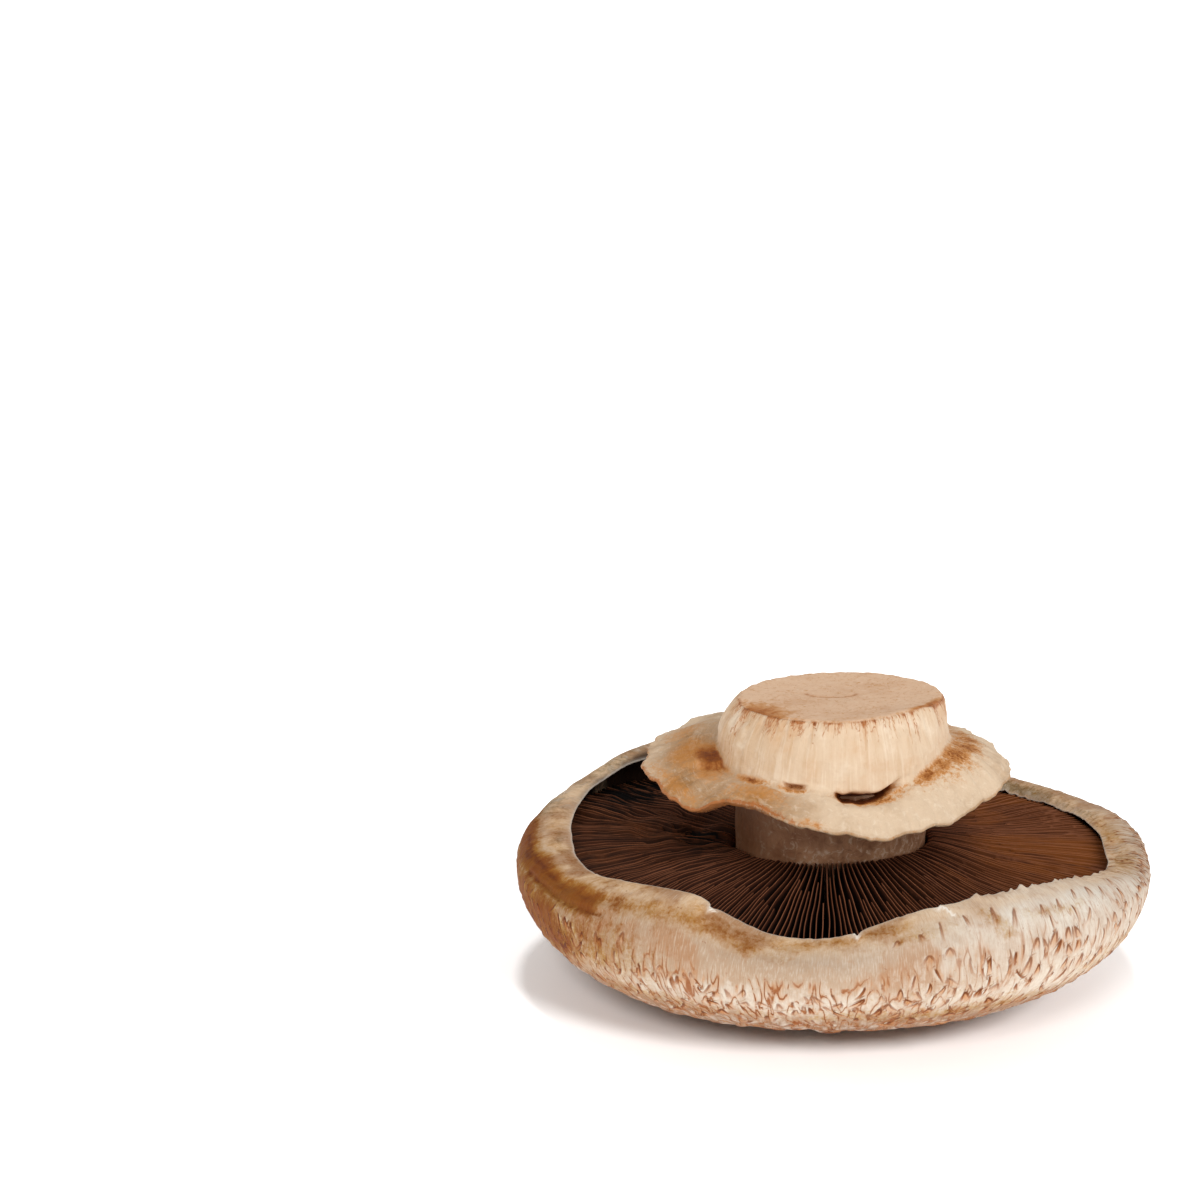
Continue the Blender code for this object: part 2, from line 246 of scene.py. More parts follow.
class Link:
    """A shader socket whose operators add Math nodes."""

    def __init__(self, graph: "Graph", socket: bpy.types.NodeSocket) -> None:
        """Wraps a socket of a graph."""
        self.graph, self.socket = graph, socket

    def _math(self, operation: str, *values: Any) -> "Link":
        """Adds one Math node."""
        return self.graph.add("Math", {"operation": operation}, dict(enumerate(values)))

    def __add__(self, other: Any) -> "Link":
        """Sum."""
        return self._math("ADD", self, other)

    def __sub__(self, other: Any) -> "Link":
        """Difference."""
        return self._math("SUBTRACT", self, other)

    def __rsub__(self, other: Any) -> "Link":
        """Difference from a number."""
        return self._math("SUBTRACT", other, self)

    def __mul__(self, other: Any) -> "Link":
        """Product."""
        return self._math("MULTIPLY", self, other)

    def __truediv__(self, other: Any) -> "Link":
        """Quotient."""
        return self._math("DIVIDE", self, other)

    def __pow__(self, other: Any) -> "Link":
        """Power."""
        return self._math("POWER", self, other)

    __radd__, __rmul__ = __add__, __mul__

    def size(self) -> "Link":
        """Absolute value."""
        return self._math("ABSOLUTE", self)

    def most(self, other: Any) -> "Link":
        """The larger of two."""
        return self._math("MAXIMUM", self, other)

    def ramp(self, low: float, high: float, start: float = 0.0, end: float = 1.0) -> "Link":
        """Smooth step from start at low to end at high."""
        names = {"Value": self, "From Min": low, "From Max": high, "To Min": start, "To Max": end}
        return self.graph.add("MapRange", {"interpolation_type": "SMOOTHSTEP"}, names)

    def fall(self, low: float, high: float) -> "Link":
        """Smooth step from 1 at low to 0 at high."""
        return self.ramp(low, high, 1.0, 0.0)


class Graph:
    """A material's node tree, with one method that adds any node."""

    def __init__(self, name: str) -> None:
        """Starts a material with an empty tree.

        Args:
            name: the material's name.
        """
        self.material = bpy.data.materials.new(name)
        self.material.use_nodes = True
        self.tree = self.material.node_tree
        self.tree.nodes.clear()

    def add(self, kind: str, settings: dict[str, Any] | None = None, inputs: dict[Any, Any] | None = None,
            output: Any = 0) -> Link:
        """Adds a node.

        Args:
            kind: node type without its ShaderNode prefix.
            settings: properties set first; stops fills a colour ramp.
            inputs: values or links by socket name or number.
            output: name or number of the output to return.

        Returns:
            The chosen output.
        """
        node = self.tree.nodes.new("ShaderNode" + kind)
        for key, value in (settings or {}).items():
            if key == "stops":
                self._fill(node.color_ramp, value)
            else:
                setattr(node, key, value)
        for key, value in (inputs or {}).items():
            socket = node.inputs[key]
            if isinstance(value, Link):
                self.tree.links.new(value.socket, socket)
            else:
                socket.default_value = (*value, 1.0) if socket.type == "RGBA" and len(value) == 3 else value
        return Link(self, node.outputs[output])

    @staticmethod
    def _fill(ramp: bpy.types.ColorRamp, stops: tuple[tuple[float, Colour], ...]) -> None:
        """Sets a ramp's stops.

        Args:
            ramp: the ramp of a new node.
            stops: places from 0 to 1, each with its colour.
        """
        while len(ramp.elements) < len(stops):
            ramp.elements.new(1.0)
        for element, (place, colour) in zip(ramp.elements, stops):
            element.position = place
            element.color = (*colour, 1.0)

    def value(self, name: str) -> Link:
        """A number that the mesh carries at its points."""
        return self.add("Attribute", {"attribute_name": name}, output="Fac")

    def place(self) -> Link:
        """The object's own coordinates, in metres."""
        return self.add("TexCoord", output="Object")

    def scaled(self, vector: Link, x: float, y: float, z: float) -> Link:
        """A vector multiplied part by part."""
        return self.add("VectorMath", {"operation": "MULTIPLY"}, {0: vector, 1: (x, y, z)})

    def noise(self, vector: Link, scale: float, detail: float = 3.0, rough: float = 0.5, bend: float = 0.0) -> Link:
        """Noise between 0 and 1 about a mean of 0.5."""
        inputs = {"Vector": vector, "Scale": scale, "Detail": detail, "Roughness": rough, "Distortion": bend}
        return self.add("TexNoise", {"noise_type": "FBM"}, inputs)

    def stretched(self, along: Link, turn_scale: float, along_scale: float) -> Link:
        """Coordinates that run with the meridians: the direction from the axis on a circle, and a length along.

        Args:
            along: length along the surface, in millimetres.
            turn_scale: radius of the circle.
            along_scale: what a millimetre along counts as.

        Returns:
            The coordinates.
        """
        flat = self.add("VectorMath", {"operation": "MULTIPLY_ADD"},
                        {0: self.place(), 1: (1.0, 1.0, 0.0), 2: (-AXIS[0] * MM, -AXIS[1] * MM, 0.0)})
        way = self.add("VectorMath", {"operation": "NORMALIZE"}, {0: flat})
        ring = self.scaled(way, turn_scale, turn_scale, 0.0)
        rise = self.add("CombineXYZ", inputs={2: along * along_scale})
        return self.add("VectorMath", {"operation": "ADD"}, {0: ring, 1: rise})

    def blend(self, factor: Any, first: Any, second: Any, mode: Blend = Blend.COVER) -> Link:
        """Lays the second colour over the first, by the factor."""
        return self.add("Mix", {"data_type": "RGBA", "blend_type": mode.value, "clamp_factor": True},
                        {0: factor, 6: first, 7: second}, 2)

    def over(self, ground: Any, *layers: tuple[Any, ...]) -> Link:
        """Lays colours over a ground, one after the other.

        Args:
            ground: the lowest colour.
            layers: a factor and a colour each, and for a stain Blend.STAIN.

        Returns:
            The colour on top.
        """
        for factor, colour, *mode in layers:
            ground = self.blend(factor, ground, colour, *mode)
        return ground

    def ramp(self, factor: Link, stops: tuple[tuple[float, Colour], ...]) -> Link:
        """A colour ramp."""
        return self.add("ValToRGB", {"stops": stops}, {0: factor})

    def bump(self, height: Link, distance: float, strength: float) -> Link:
        """A bumped normal from a height between 0 and 1 that stands for distance in metres."""
        return self.add("Bump", inputs={"Height": height, "Distance": distance, "Strength": strength})

    def finish(self, colour: Link, rough: Any, normal: Link, **constants: Any) -> bpy.types.Material:
        """Ends the tree in a Principled shader.

        Args:
            colour: base colour.
            rough: roughness.
            normal: bumped normal.
            constants: other sockets of the shader, with underscores for spaces.

        Returns:
            The material.
        """
        inputs = {"Base Color": colour, "Roughness": rough, "Normal": normal}
        inputs.update({key.replace("_", " "): value for key, value in constants.items()})
        shader = self.add("BsdfPrincipled", inputs=inputs)
        output = self.tree.nodes.new("ShaderNodeOutputMaterial")
        self.tree.links.new(shader.socket, output.inputs["Surface"])
        return self.material


@dataclass(frozen=True)
class CapFinish:
    """Cap skin: white and tan hairs, brown tips and cracks, stains that deepen the skin's own colour, and painted shade
    and highlight.
    """

    crown: Colour = rgb(138, 102, 76)
    low: Colour = rgb(148, 112, 84)
    flank: Colour = rgb(174, 143, 114)
    white: Colour = rgb(218, 208, 194)
    peach: Colour = rgb(172, 130, 96)
    edge: Colour = rgb(224, 192, 156)
    hair: Colour = rgb(224, 213, 196)
    tan: Colour = rgb(172, 124, 84)
    # Orange of the crack halos, and painted shadow under the raised tuft tips.
    orange_and_tip_shade: Colour = rgb(194, 132, 78)
    crack: Colour = rgb(140, 76, 30)
    core: Colour = rgb(96, 46, 16)
    ochre: Colour = (0.66, 0.42, 0.11)
    umber: Colour = (0.68, 0.46, 0.19)
    rust: Colour = (0.55, 0.36, 0.11)
    grey: Colour = rgb(124, 104, 68)
    # Painted shade in the hollow behind the margin, on its inner face and on the floor under the gills.
    inner: Colour = rgb(44, 25, 13)
    flesh: Colour = rgb(246, 236, 222)
    girth: float = 0.055

    def material(self) -> bpy.types.Material:
        """Colour by length along the skin, darker towards the crown partly as painted shade, then hairs, cracks, tuft
        marks with their painted shadow and highlight, stains, and painted shade in the hollow behind the margin.

        A tuft's mark is a line on each arm |u| = open * v^0.7 below its tip, where u runs across it and v down it.

        Returns:
            The material.
        """
        g = Graph("cap")
        along, u, v, ink = (g.value(key) for key in ("along", "tuft_u", "tuft_v", "tuft_ink"))
        hair = g.noise(g.stretched(along, self.girth, 0.00012), 4800.0, 2.0, 0.5, bend=0.3)
        strand = g.noise(g.stretched(along, self.girth, 0.00024), 1100.0, 3.0, 0.6, bend=0.5)
        wisp = g.noise(g.stretched(along, self.girth, 0.00024), 600.0, 1.0, 0.4, bend=0.3)
        cloud = g.noise(g.place(), 105.0, 4.0, 0.55)
        patch = g.noise(g.place(), 420.0, 4.0, 0.62)
        fine = g.noise(g.place(), 1400.0, 3.0, 0.6, bend=0.6)
        speck = g.noise(g.place(), 1500.0, 1.0).ramp(0.74, 0.8)
        net = (wisp - 0.5).size()
        broken = patch.ramp(0.38, 0.52) * g.value("cracked")
        split = net.fall(0.008, 0.028) * broken
        fade = v.ramp(-0.12, 0.05) * v.fall(0.35, 1.1)
        across = u + (strand - 0.5) * 0.4 + (fine - 0.5) * 0.3
        arm = across.size() - g.value("tuft_open") * v.most(0.0) ** 0.7
        line = arm.size().fall(0.12, 0.42) * fade
        inside = arm.fall(-0.1, 0.1) * fade
        # Beside each mark on one side, and between its arms, lies painted shadow cast by the raised tip; on the other
        # side a painted highlight.
        beside = across.ramp(0.0, 0.25) * across.fall(0.4, 1.7) * fade
        highlight_side = across.ramp(-1.7, -0.6) * across.fall(-0.35, -0.1) * fade
        rust, dull = g.value("rust"), g.value("grey")
        ripple = (hair - 0.5) * 0.4 + (patch - 0.5) * 0.75 + (strand - 0.5) * 0.4 + (fine - 0.5) * 0.9
        ochre = g.value("ochre").most(rust) + ripple
        # The ground darkens from the flank to the crown, which faces the floor: partly the skin's own tan, partly
        # painted shade of the underside.
        ground = g.ramp((along + (cloud - 0.5) * 9.0) / 80.0,
                        ((0.1, self.crown), (0.5, self.crown), (0.62, self.low), (0.72, self.flank),
                         (0.84, self.flank), (0.91, self.edge)))
        skin = g.over(
            ground,
            (g.value("white") * patch.ramp(0.3, 0.6, 0.6, 1.0), self.white),
            (cloud.ramp(0.42, 0.6) * g.value("peach"), self.peach),
            (patch.ramp(0.5, 0.72) * 0.2 + strand.ramp(0.52, 0.8) * 0.14, self.tan),
            (hair.fall(0.34, 0.5) * 0.2, self.tan),
            (hair.ramp(0.5, 0.66) * patch.ramp(0.3, 0.6, 0.1, 0.3), self.hair))
        skin = g.over(
            skin,
            (net.ramp(0.02, 0.2) * broken * 0.5, self.white),
            (net.fall(0.0, 0.09) * broken * 0.6, self.orange_and_tip_shade),
            (split * 0.9, self.crack),
            # A painted highlight on one side of each tuft, then its painted shadow and brown lines.
            (highlight_side * ink * 0.7, self.hair),
            ((beside * 0.7).most(inside) * ink * 0.85, self.orange_and_tip_shade),
            (line * ink, self.crack),
            (line * v.fall(0.0, 0.55) * ink * 0.8, self.core),
            (speck * 0.5, self.crack))
        skin = g.over(
            skin,
            ((dull + ripple * 0.9).ramp(0.25, 0.95) * 0.85, self.grey),
            (dull * patch.ramp(0.5, 0.62) * 0.6, self.white),
            (ochre.ramp(0.1, 1.0), self.ochre, Blend.STAIN),
            ((ochre + (cloud - 0.5) * 1.1).ramp(0.5, 1.3), self.umber, Blend.STAIN),
            ((rust + ripple * 0.8).ramp(0.45, 1.15), self.rust, Blend.STAIN),
            # Painted shade of the hollow behind the margin.
            (g.value("inner") * cloud.ramp(0.2, 0.5), self.inner),
            (g.value("torn"), self.flesh))
        relief = strand * 0.45 + hair * 0.2 + patch * 0.4 + fine * 0.15 - line * ink * 0.5 - split * 0.4
        return g.finish(skin, 0.75, g.bump(relief, 0.0003, 1.0), Specular_IOR_Level=0.2)


@dataclass(frozen=True)
class GillFinish:
    """Chocolate gills with painted shade at their roots and painted highlights on their russet edges."""

    # Near-black painted shade deep between the gills.
    root: Colour = rgb(9, 4, 3)
    wall: Colour = rgb(62, 30, 16)
    crest: Colour = rgb(168, 108, 76)
    brown: Colour = rgb(96, 50, 22)
    russet: Colour = rgb(122, 66, 22)
    pale: Colour = rgb(190, 150, 116)
    girth: float = 0.05

    def material(self) -> bpy.types.Material:
        """Walls that darken to the root in painted shade, edges painted lighter where they catch the light, more
        painted shade in the hollows, and a slow change of brown along each gill.

        Returns:
            The material.
        """
        g = Graph("gills")
        crest, along, blade, fallen, gill_shade = (g.value(key) for key in ("crest", "along", "blade", "open", "gill_shade"))
        streak = g.noise(g.stretched(along, self.girth, 0.00012), 900.0, 3.0)
        fine = g.noise(g.stretched(along, self.girth, 0.00006), 2100.0, 2.0, 0.6)
        slow = g.noise(g.stretched(along, self.girth, 0.0005), 95.0, 3.0, 0.55, bend=0.6)
        lit = g.over(
            g.blend(fallen, self.wall, self.brown),
            (slow.ramp(0.42, 0.62) * fallen, self.russet),
            (streak.ramp(0.5, 0.75) * 0.6, self.wall),
            (fine.ramp(0.55, 0.75) * fallen * 0.5, self.crest))
        # From painted shade at the root to the gill's colour up the walls; where the gills lie open there is less of
        # it.
        shallow = g.blend(crest.ramp(0.45, 0.9), self.root, lit)
        wall = g.blend(fallen, g.blend(crest.ramp(0.8, 0.905), self.root, self.wall), shallow)
        top = g.over(
            g.blend(blade * 0.45 + streak * 0.3 + 0.2, lit, self.crest),
            (fine.ramp(0.45, 0.7) * 0.4, self.wall),
            (g.value("tip"), self.pale))
        # Painted shade in the hollow under the back-left rim and among the bunched gills by the stem.
        colour = g.over(wall, (crest.ramp(0.9, 1.0), top),
                        (gill_shade * (streak.ramp(0.38, 0.6, 0.0, 1.4) + slow * 0.3), self.root))
        return g.finish(colour, 0.7, g.bump(streak * 0.6 + fine * 0.4, 0.0002, 0.6), Specular_IOR_Level=0.12)


@dataclass(frozen=True)
class NeckFinish:
    """Water-soaked grey-brown skin of the stem between gills and ring."""

    dark: Colour = rgb(150, 104, 74)
    brown: Colour = rgb(180, 132, 98)
    pale: Colour = rgb(214, 184, 158)
    # Brown of the threads and dark flecks, and painted shade on the neck's left.
    shade: Colour = rgb(118, 72, 42)

    def material(self) -> bpy.types.Material:
        """Small pale flecks on a dull ground, darker at the left with painted shade under the ring.

        Returns:
            The material.
        """
        g = Graph("stem_neck")
        fleck = g.noise(g.place(), 560.0, 5.0, 0.72, bend=1.2)
        thread = g.noise(g.stretched(g.value("along"), 0.017, 0.00012), 1500.0, 3.0, 0.6)
        cloud = g.noise(g.place(), 240.0, 4.0, 0.6)
        colour = g.over(
            g.blend(cloud.ramp(0.35, 0.65), self.dark, self.brown),
            (thread.ramp(0.5, 0.72) * 0.3, self.shade),
            (fleck.ramp(0.52, 0.66) * 0.7, self.pale),
            (fleck.fall(0.34, 0.46) * 0.5, self.shade),
            # Painted shade on the neck's left, under the ring.
            (g.value("warm_tone_and_shade"), self.shade))
        relief = fleck * 0.6 + cloud * 0.4 + thread * 0.3
        return g.finish(colour, 0.5, g.bump(relief, 0.0002, 0.7), Specular_IOR_Level=0.3)


@dataclass(frozen=True)
class HeadFinish:
    """Felted ring, fibrous cream swelling, brown torn skin round the cut, and the tan cut itself."""

    felt: Colour = rgb(220, 194, 164)
    # Colour of soft mottling over the ring and of its darker left lobe and underside, partly their own tone and partly
    # painted shade.
    warm_tone_and_shade: Colour = rgb(154, 110, 62)
    fluff: Colour = rgb(244, 228, 206)
    fibre: Colour = rgb(222, 195, 165)
    # Tan of the fibre streaks and of the cut's mottle, and painted shade on the swelling's left and in the lobe's
    # creases.
    shade: Colour = rgb(198, 158, 116)
    amber: Colour = rgb(196, 130, 60)
    bruise: Colour = rgb(142, 76, 12)
    deep: Colour = rgb(106, 48, 10)
    skin: Colour = rgb(168, 96, 38)
    dark: Colour = rgb(104, 46, 14)
    cut: Colour = rgb(230, 192, 158)
    cut_warm: Colour = rgb(206, 158, 118)
    cut_pale: Colour = rgb(244, 218, 192)

    def material(self, centre: tuple[float, float], size: tuple[float, float]) -> bpy.types.Material:
        """Felt on the ring, upright fibres on the side, and on the cut a fine grain, an arc and a browned border. The
        ring's underside and left lobe are darker partly by painted shade, and the swelling's left by painted shade.

        The side's drips are brown where a noise that changes only round the stem exceeds the depth below the cut.

        Args:
            centre: the arc's middle from the stem's axis, in millimetres.
            size: half the arc's width and depth.

        Returns:
            The material.
        """
        g = Graph("stem_head")
        along, part, below = g.value("along"), g.value("part"), g.value("below")
        tone_and_shade, bruise, wet, arc = g.value("tone_and_shade"), g.value("stain"), g.value("wet"), g.value("arc")
        cloud = g.noise(g.place(), 150.0, 4.0, 0.6)
        fluff = g.noise(g.place(), 850.0, 4.0, 0.7, bend=0.6)
        curl = g.noise(g.place(), 520.0, 4.0, 0.7, bend=1.6)
        grit = g.noise(g.place(), 1300.0, 3.0, 0.7, bend=0.8)
        strand = g.noise(g.stretched(along, 0.024, 0.00025), 800.0, 4.0, 0.65, bend=0.5)
        thread = g.noise(g.stretched(along, 0.02, 0.00007), 1900.0, 3.0, 0.6)
        crease = g.noise(g.stretched(along, 0.007, 0.0014), 620.0, 3.0, 0.6, bend=2.0)
        vein = (g.noise(g.stretched(along, 0.02, 0.00035), 640.0, 3.0, 0.6, bend=1.2) - 0.5).size()
        flow = g.noise(g.stretched(along, 0.02, 0.00004), 420.0, 4.0, 0.7, bend=0.5)

        ripple = (fluff - 0.5) * 0.9 + (grit - 0.5) * 1.9 + (curl - 0.5) * 1.0
        stain = bruise + ripple * bruise.ramp(0.0, 0.4, 0.3, 1.0) * (1.0 - tone_and_shade * 0.75)
        # The ring is darker on its left lobe and its underside, partly their own tone and partly painted shade.
        ring = g.over(
            self.felt,
            (cloud.ramp(0.45, 0.7) * 0.3 + tone_and_shade, self.warm_tone_and_shade),
            (fluff.ramp(0.5, 0.72) * 0.35, self.fluff),
            # Darker in the folds of the lobe's creases and paler on their ridges: painted shade and painted highlight.
            (crease.ramp(0.5, 0.66) * tone_and_shade * 0.55, self.shade),
            (crease.fall(0.3, 0.45) * tone_and_shade * 0.3, self.fluff),
            (curl.ramp(0.54, 0.84) * (tone_and_shade * 0.36 + 0.14), self.amber),
            (stain.ramp(0.1, 0.8) * (0.9 - tone_and_shade * 0.2), self.amber),
            (stain.ramp(0.6, 1.3) * 0.95, self.bruise),
            (stain.ramp(1.1, 1.6), self.deep),
            ((g.value("fringe") + ripple * 0.7).ramp(0.25, 0.8) * 0.85, self.skin))

        drip = flow.ramp(0.38, 0.68, 0.4, 4.2) - below + (curl - 0.5) * 2.5
        rim = flow.ramp(0.4, 0.65, -0.35, 0.65) - below + (curl - 0.5) * 1.6
        # The swelling's left side darkens with painted shade.
        side = g.over(
            self.fibre,
            (strand.ramp(0.46, 0.72) * 0.3 + tone_and_shade * 0.8, self.shade),
            (thread.ramp(0.5, 0.7) * 0.3, self.fluff),
            (cloud.ramp(0.48, 0.75) * 0.32, self.amber),
            (cloud.ramp(0.32, 0.48, 0.45, 0.0), self.fluff),
            (drip.ramp(-0.4, 2.2) * 0.24, self.amber),
            (vein.fall(0.008, 0.036) * (drip + 0.6).ramp(0.0, 1.5) * 0.7, self.skin),
            (rim.ramp(-0.3, 0.2) * 0.8, self.skin),
            (rim.ramp(0.1, 0.5) * curl.ramp(0.45, 0.6) * 0.7, self.dark))

        flat = g.add("VectorMath", {"operation": "SUBTRACT"}, {0: g.place(), 1: (*((AXIS[:2] + centre) * MM), 0.0)})
        away = g.add("VectorMath", {"operation": "LENGTH"}, {0: g.scaled(flat, 1 / size[0], 1 / size[1], 0.0)}, "Value")
        bow = (away / MM - 1.0 + (curl - 0.5) * 0.25).size()
        border = g.value("browned") + (curl - 0.5) * 1.6 + (cloud - 0.5) * 0.8
        face = g.over(
            self.cut,
            (cloud.ramp(0.4, 0.68) * 0.45, self.cut_warm),
            (fluff.ramp(0.5, 0.7) * 0.35, self.cut_pale),
            (curl.ramp(0.52, 0.72) * 0.35, self.shade),
            (grit.ramp(0.52, 0.66) * curl.ramp(0.4, 0.6, 0.3, 0.9) * 0.7, self.amber),
            (arc * bow.fall(0.03, 0.14) * curl.ramp(0.3, 0.5) * 0.8, self.skin),
            (arc * bow.fall(0.1, 0.5) * 0.35, self.cut_warm),
            (border.ramp(0.1, 0.7) * 0.75, self.amber),
            (border.ramp(0.55, 1.05) * 0.8, self.skin),
            (border.ramp(1.0, 1.5) * 0.7, self.dark))

        colour = g.over(ring, (part, side), (g.value("cut"), face), (wet, self.deep))
        relief = fluff * 0.4 + strand * part * 0.22 + thread * 0.14 + curl * 0.45 + crease * tone_and_shade * 0.4
        rough = wet.ramp(0.3, 0.9, 0.72, 0.12)
        return g.finish(colour, rough, g.bump(relief, 0.0004, 0.8), Specular_IOR_Level=0.3)


@dataclass(frozen=True)
class Line:
    """Values that change evenly between (place, value) stations."""

    stations: tuple[tuple[float, float], ...]

    def at(self, place: np.ndarray | float) -> np.ndarray:
        """The value at each place."""
        return np.interp(place, *zip(*self.stations))


@dataclass(frozen=True)
class Mark:
    """A soft spot: angle and place along, half sizes, and strength."""

    angle: float
    along: float
    half_angle: float
    half_along: float
    strength: float

    def at(self, angle: np.ndarray, along: np.ndarray | float) -> np.ndarray:
        """Gaussian bell in angle and length.

        Args:
            angle: angles in degrees.
            along: lengths in the spot's own unit.

        Returns:
            The spot's weight there.
        """
        a = turn_gap(angle, self.angle) / self.half_angle
        b = (along - self.along) / self.half_along
        return self.strength * np.exp(-(a * a + b * b))


@dataclass(frozen=True)
class Trail:
    """A soft stroke along a line of (angle, along) points."""

    points: tuple[tuple[float, float], ...]
    half: float
    strength: float
    mm_per_degree: float = 0.87

    def at(self, angle: np.ndarray, along: np.ndarray) -> np.ndarray:
        """Gaussian bell of the distance to the nearest piece of the line.

        Args:
            angle: angles in degrees.
            along: lengths in millimetres.

        Returns:
            The stroke's weight there.
        """
        start = self.points[0][0]
        x = turn_gap(angle, start) * self.mm_per_degree
        line = [(turn_gap(np.array(p), start) * self.mm_per_degree, s) for p, s in self.points]
        near = np.full(np.broadcast(x, along).shape, np.inf)
        for (x0, y0), (x1, y1) in zip(line[:-1], line[1:]):
            size = (x1 - x0) ** 2 + (y1 - y0) ** 2
            t = np.clip(((x - x0) * (x1 - x0) + (along - y0) * (y1 - y0)) / size, 0.0, 1.0)
            near = np.minimum(near, np.hypot(x - x0 - t * (x1 - x0), along - y0 - t * (y1 - y0)))
        return self.strength * np.exp(-(near / self.half) ** 2)


def blotch(marks: tuple[Mark | Trail, ...], angle: np.ndarray, along: np.ndarray) -> np.ndarray:
    """The strongest of several soft spots at each place."""
    return np.max([m.at(angle, along) for m in marks], axis=0)


class Nearest:
    """The nearest tuft of each grid point: its values, its score, and the score of the next one."""

    FAR: float = 9.0

    def __init__(self, shape: tuple[int, int]) -> None:
        """Starts with no tuft anywhere."""
        self.best, self.second = np.full(shape, self.FAR), np.full(shape, self.FAR)
        self.grids = {key: np.zeros(shape) for key in ("tuft_u", "tuft_v", "tuft_open", "tuft_ink", "lift")}

    def offer(self, u: np.ndarray, v: np.ndarray, most: float, gone: np.ndarray | bool,
              **values: np.ndarray | float) -> None:
        """Takes a tuft where it is nearer than the best: its score is the distance from its middle.

        Args:
            u: place across the tuft, in half widths.
            v: place down from its tip, in lengths.
            most: the highest score at which it is taken.
            gone: where the tuft is left out.
            values: its other values, by name.
        """
        score = np.where(gone, self.FAR, np.hypot(u / 1.6, (v - 0.45) / 0.8))
        better = score < np.minimum(self.best, most)
        self.second = np.where(better, self.best, np.minimum(self.second, score))
        self.best = np.minimum(self.best, score)
        for key, value in {"tuft_u": u, "tuft_v": v, **values}.items():
            self.grids[key] = np.where(better, value, self.grids[key])

    def settle(self) -> dict[str, np.ndarray]:
        """Fades ink and lift where the score is high, and ink where two tufts tie.

        Returns:
            The grids by name.
        """
        near = 1 - self.best
        self.grids["tuft_ink"] *= np.clip(near * 2.2, 0, 1) * np.clip((self.second - self.best) * 5.0, 0, 1)
        self.grids["lift"] *= np.clip(near * 2.5, 0, 1)
        self.grids["tuft_u"] = np.clip(self.grids["tuft_u"], -2, 2)
        self.grids["tuft_v"] = np.clip(self.grids["tuft_v"], -1, 2)
        return self.grids


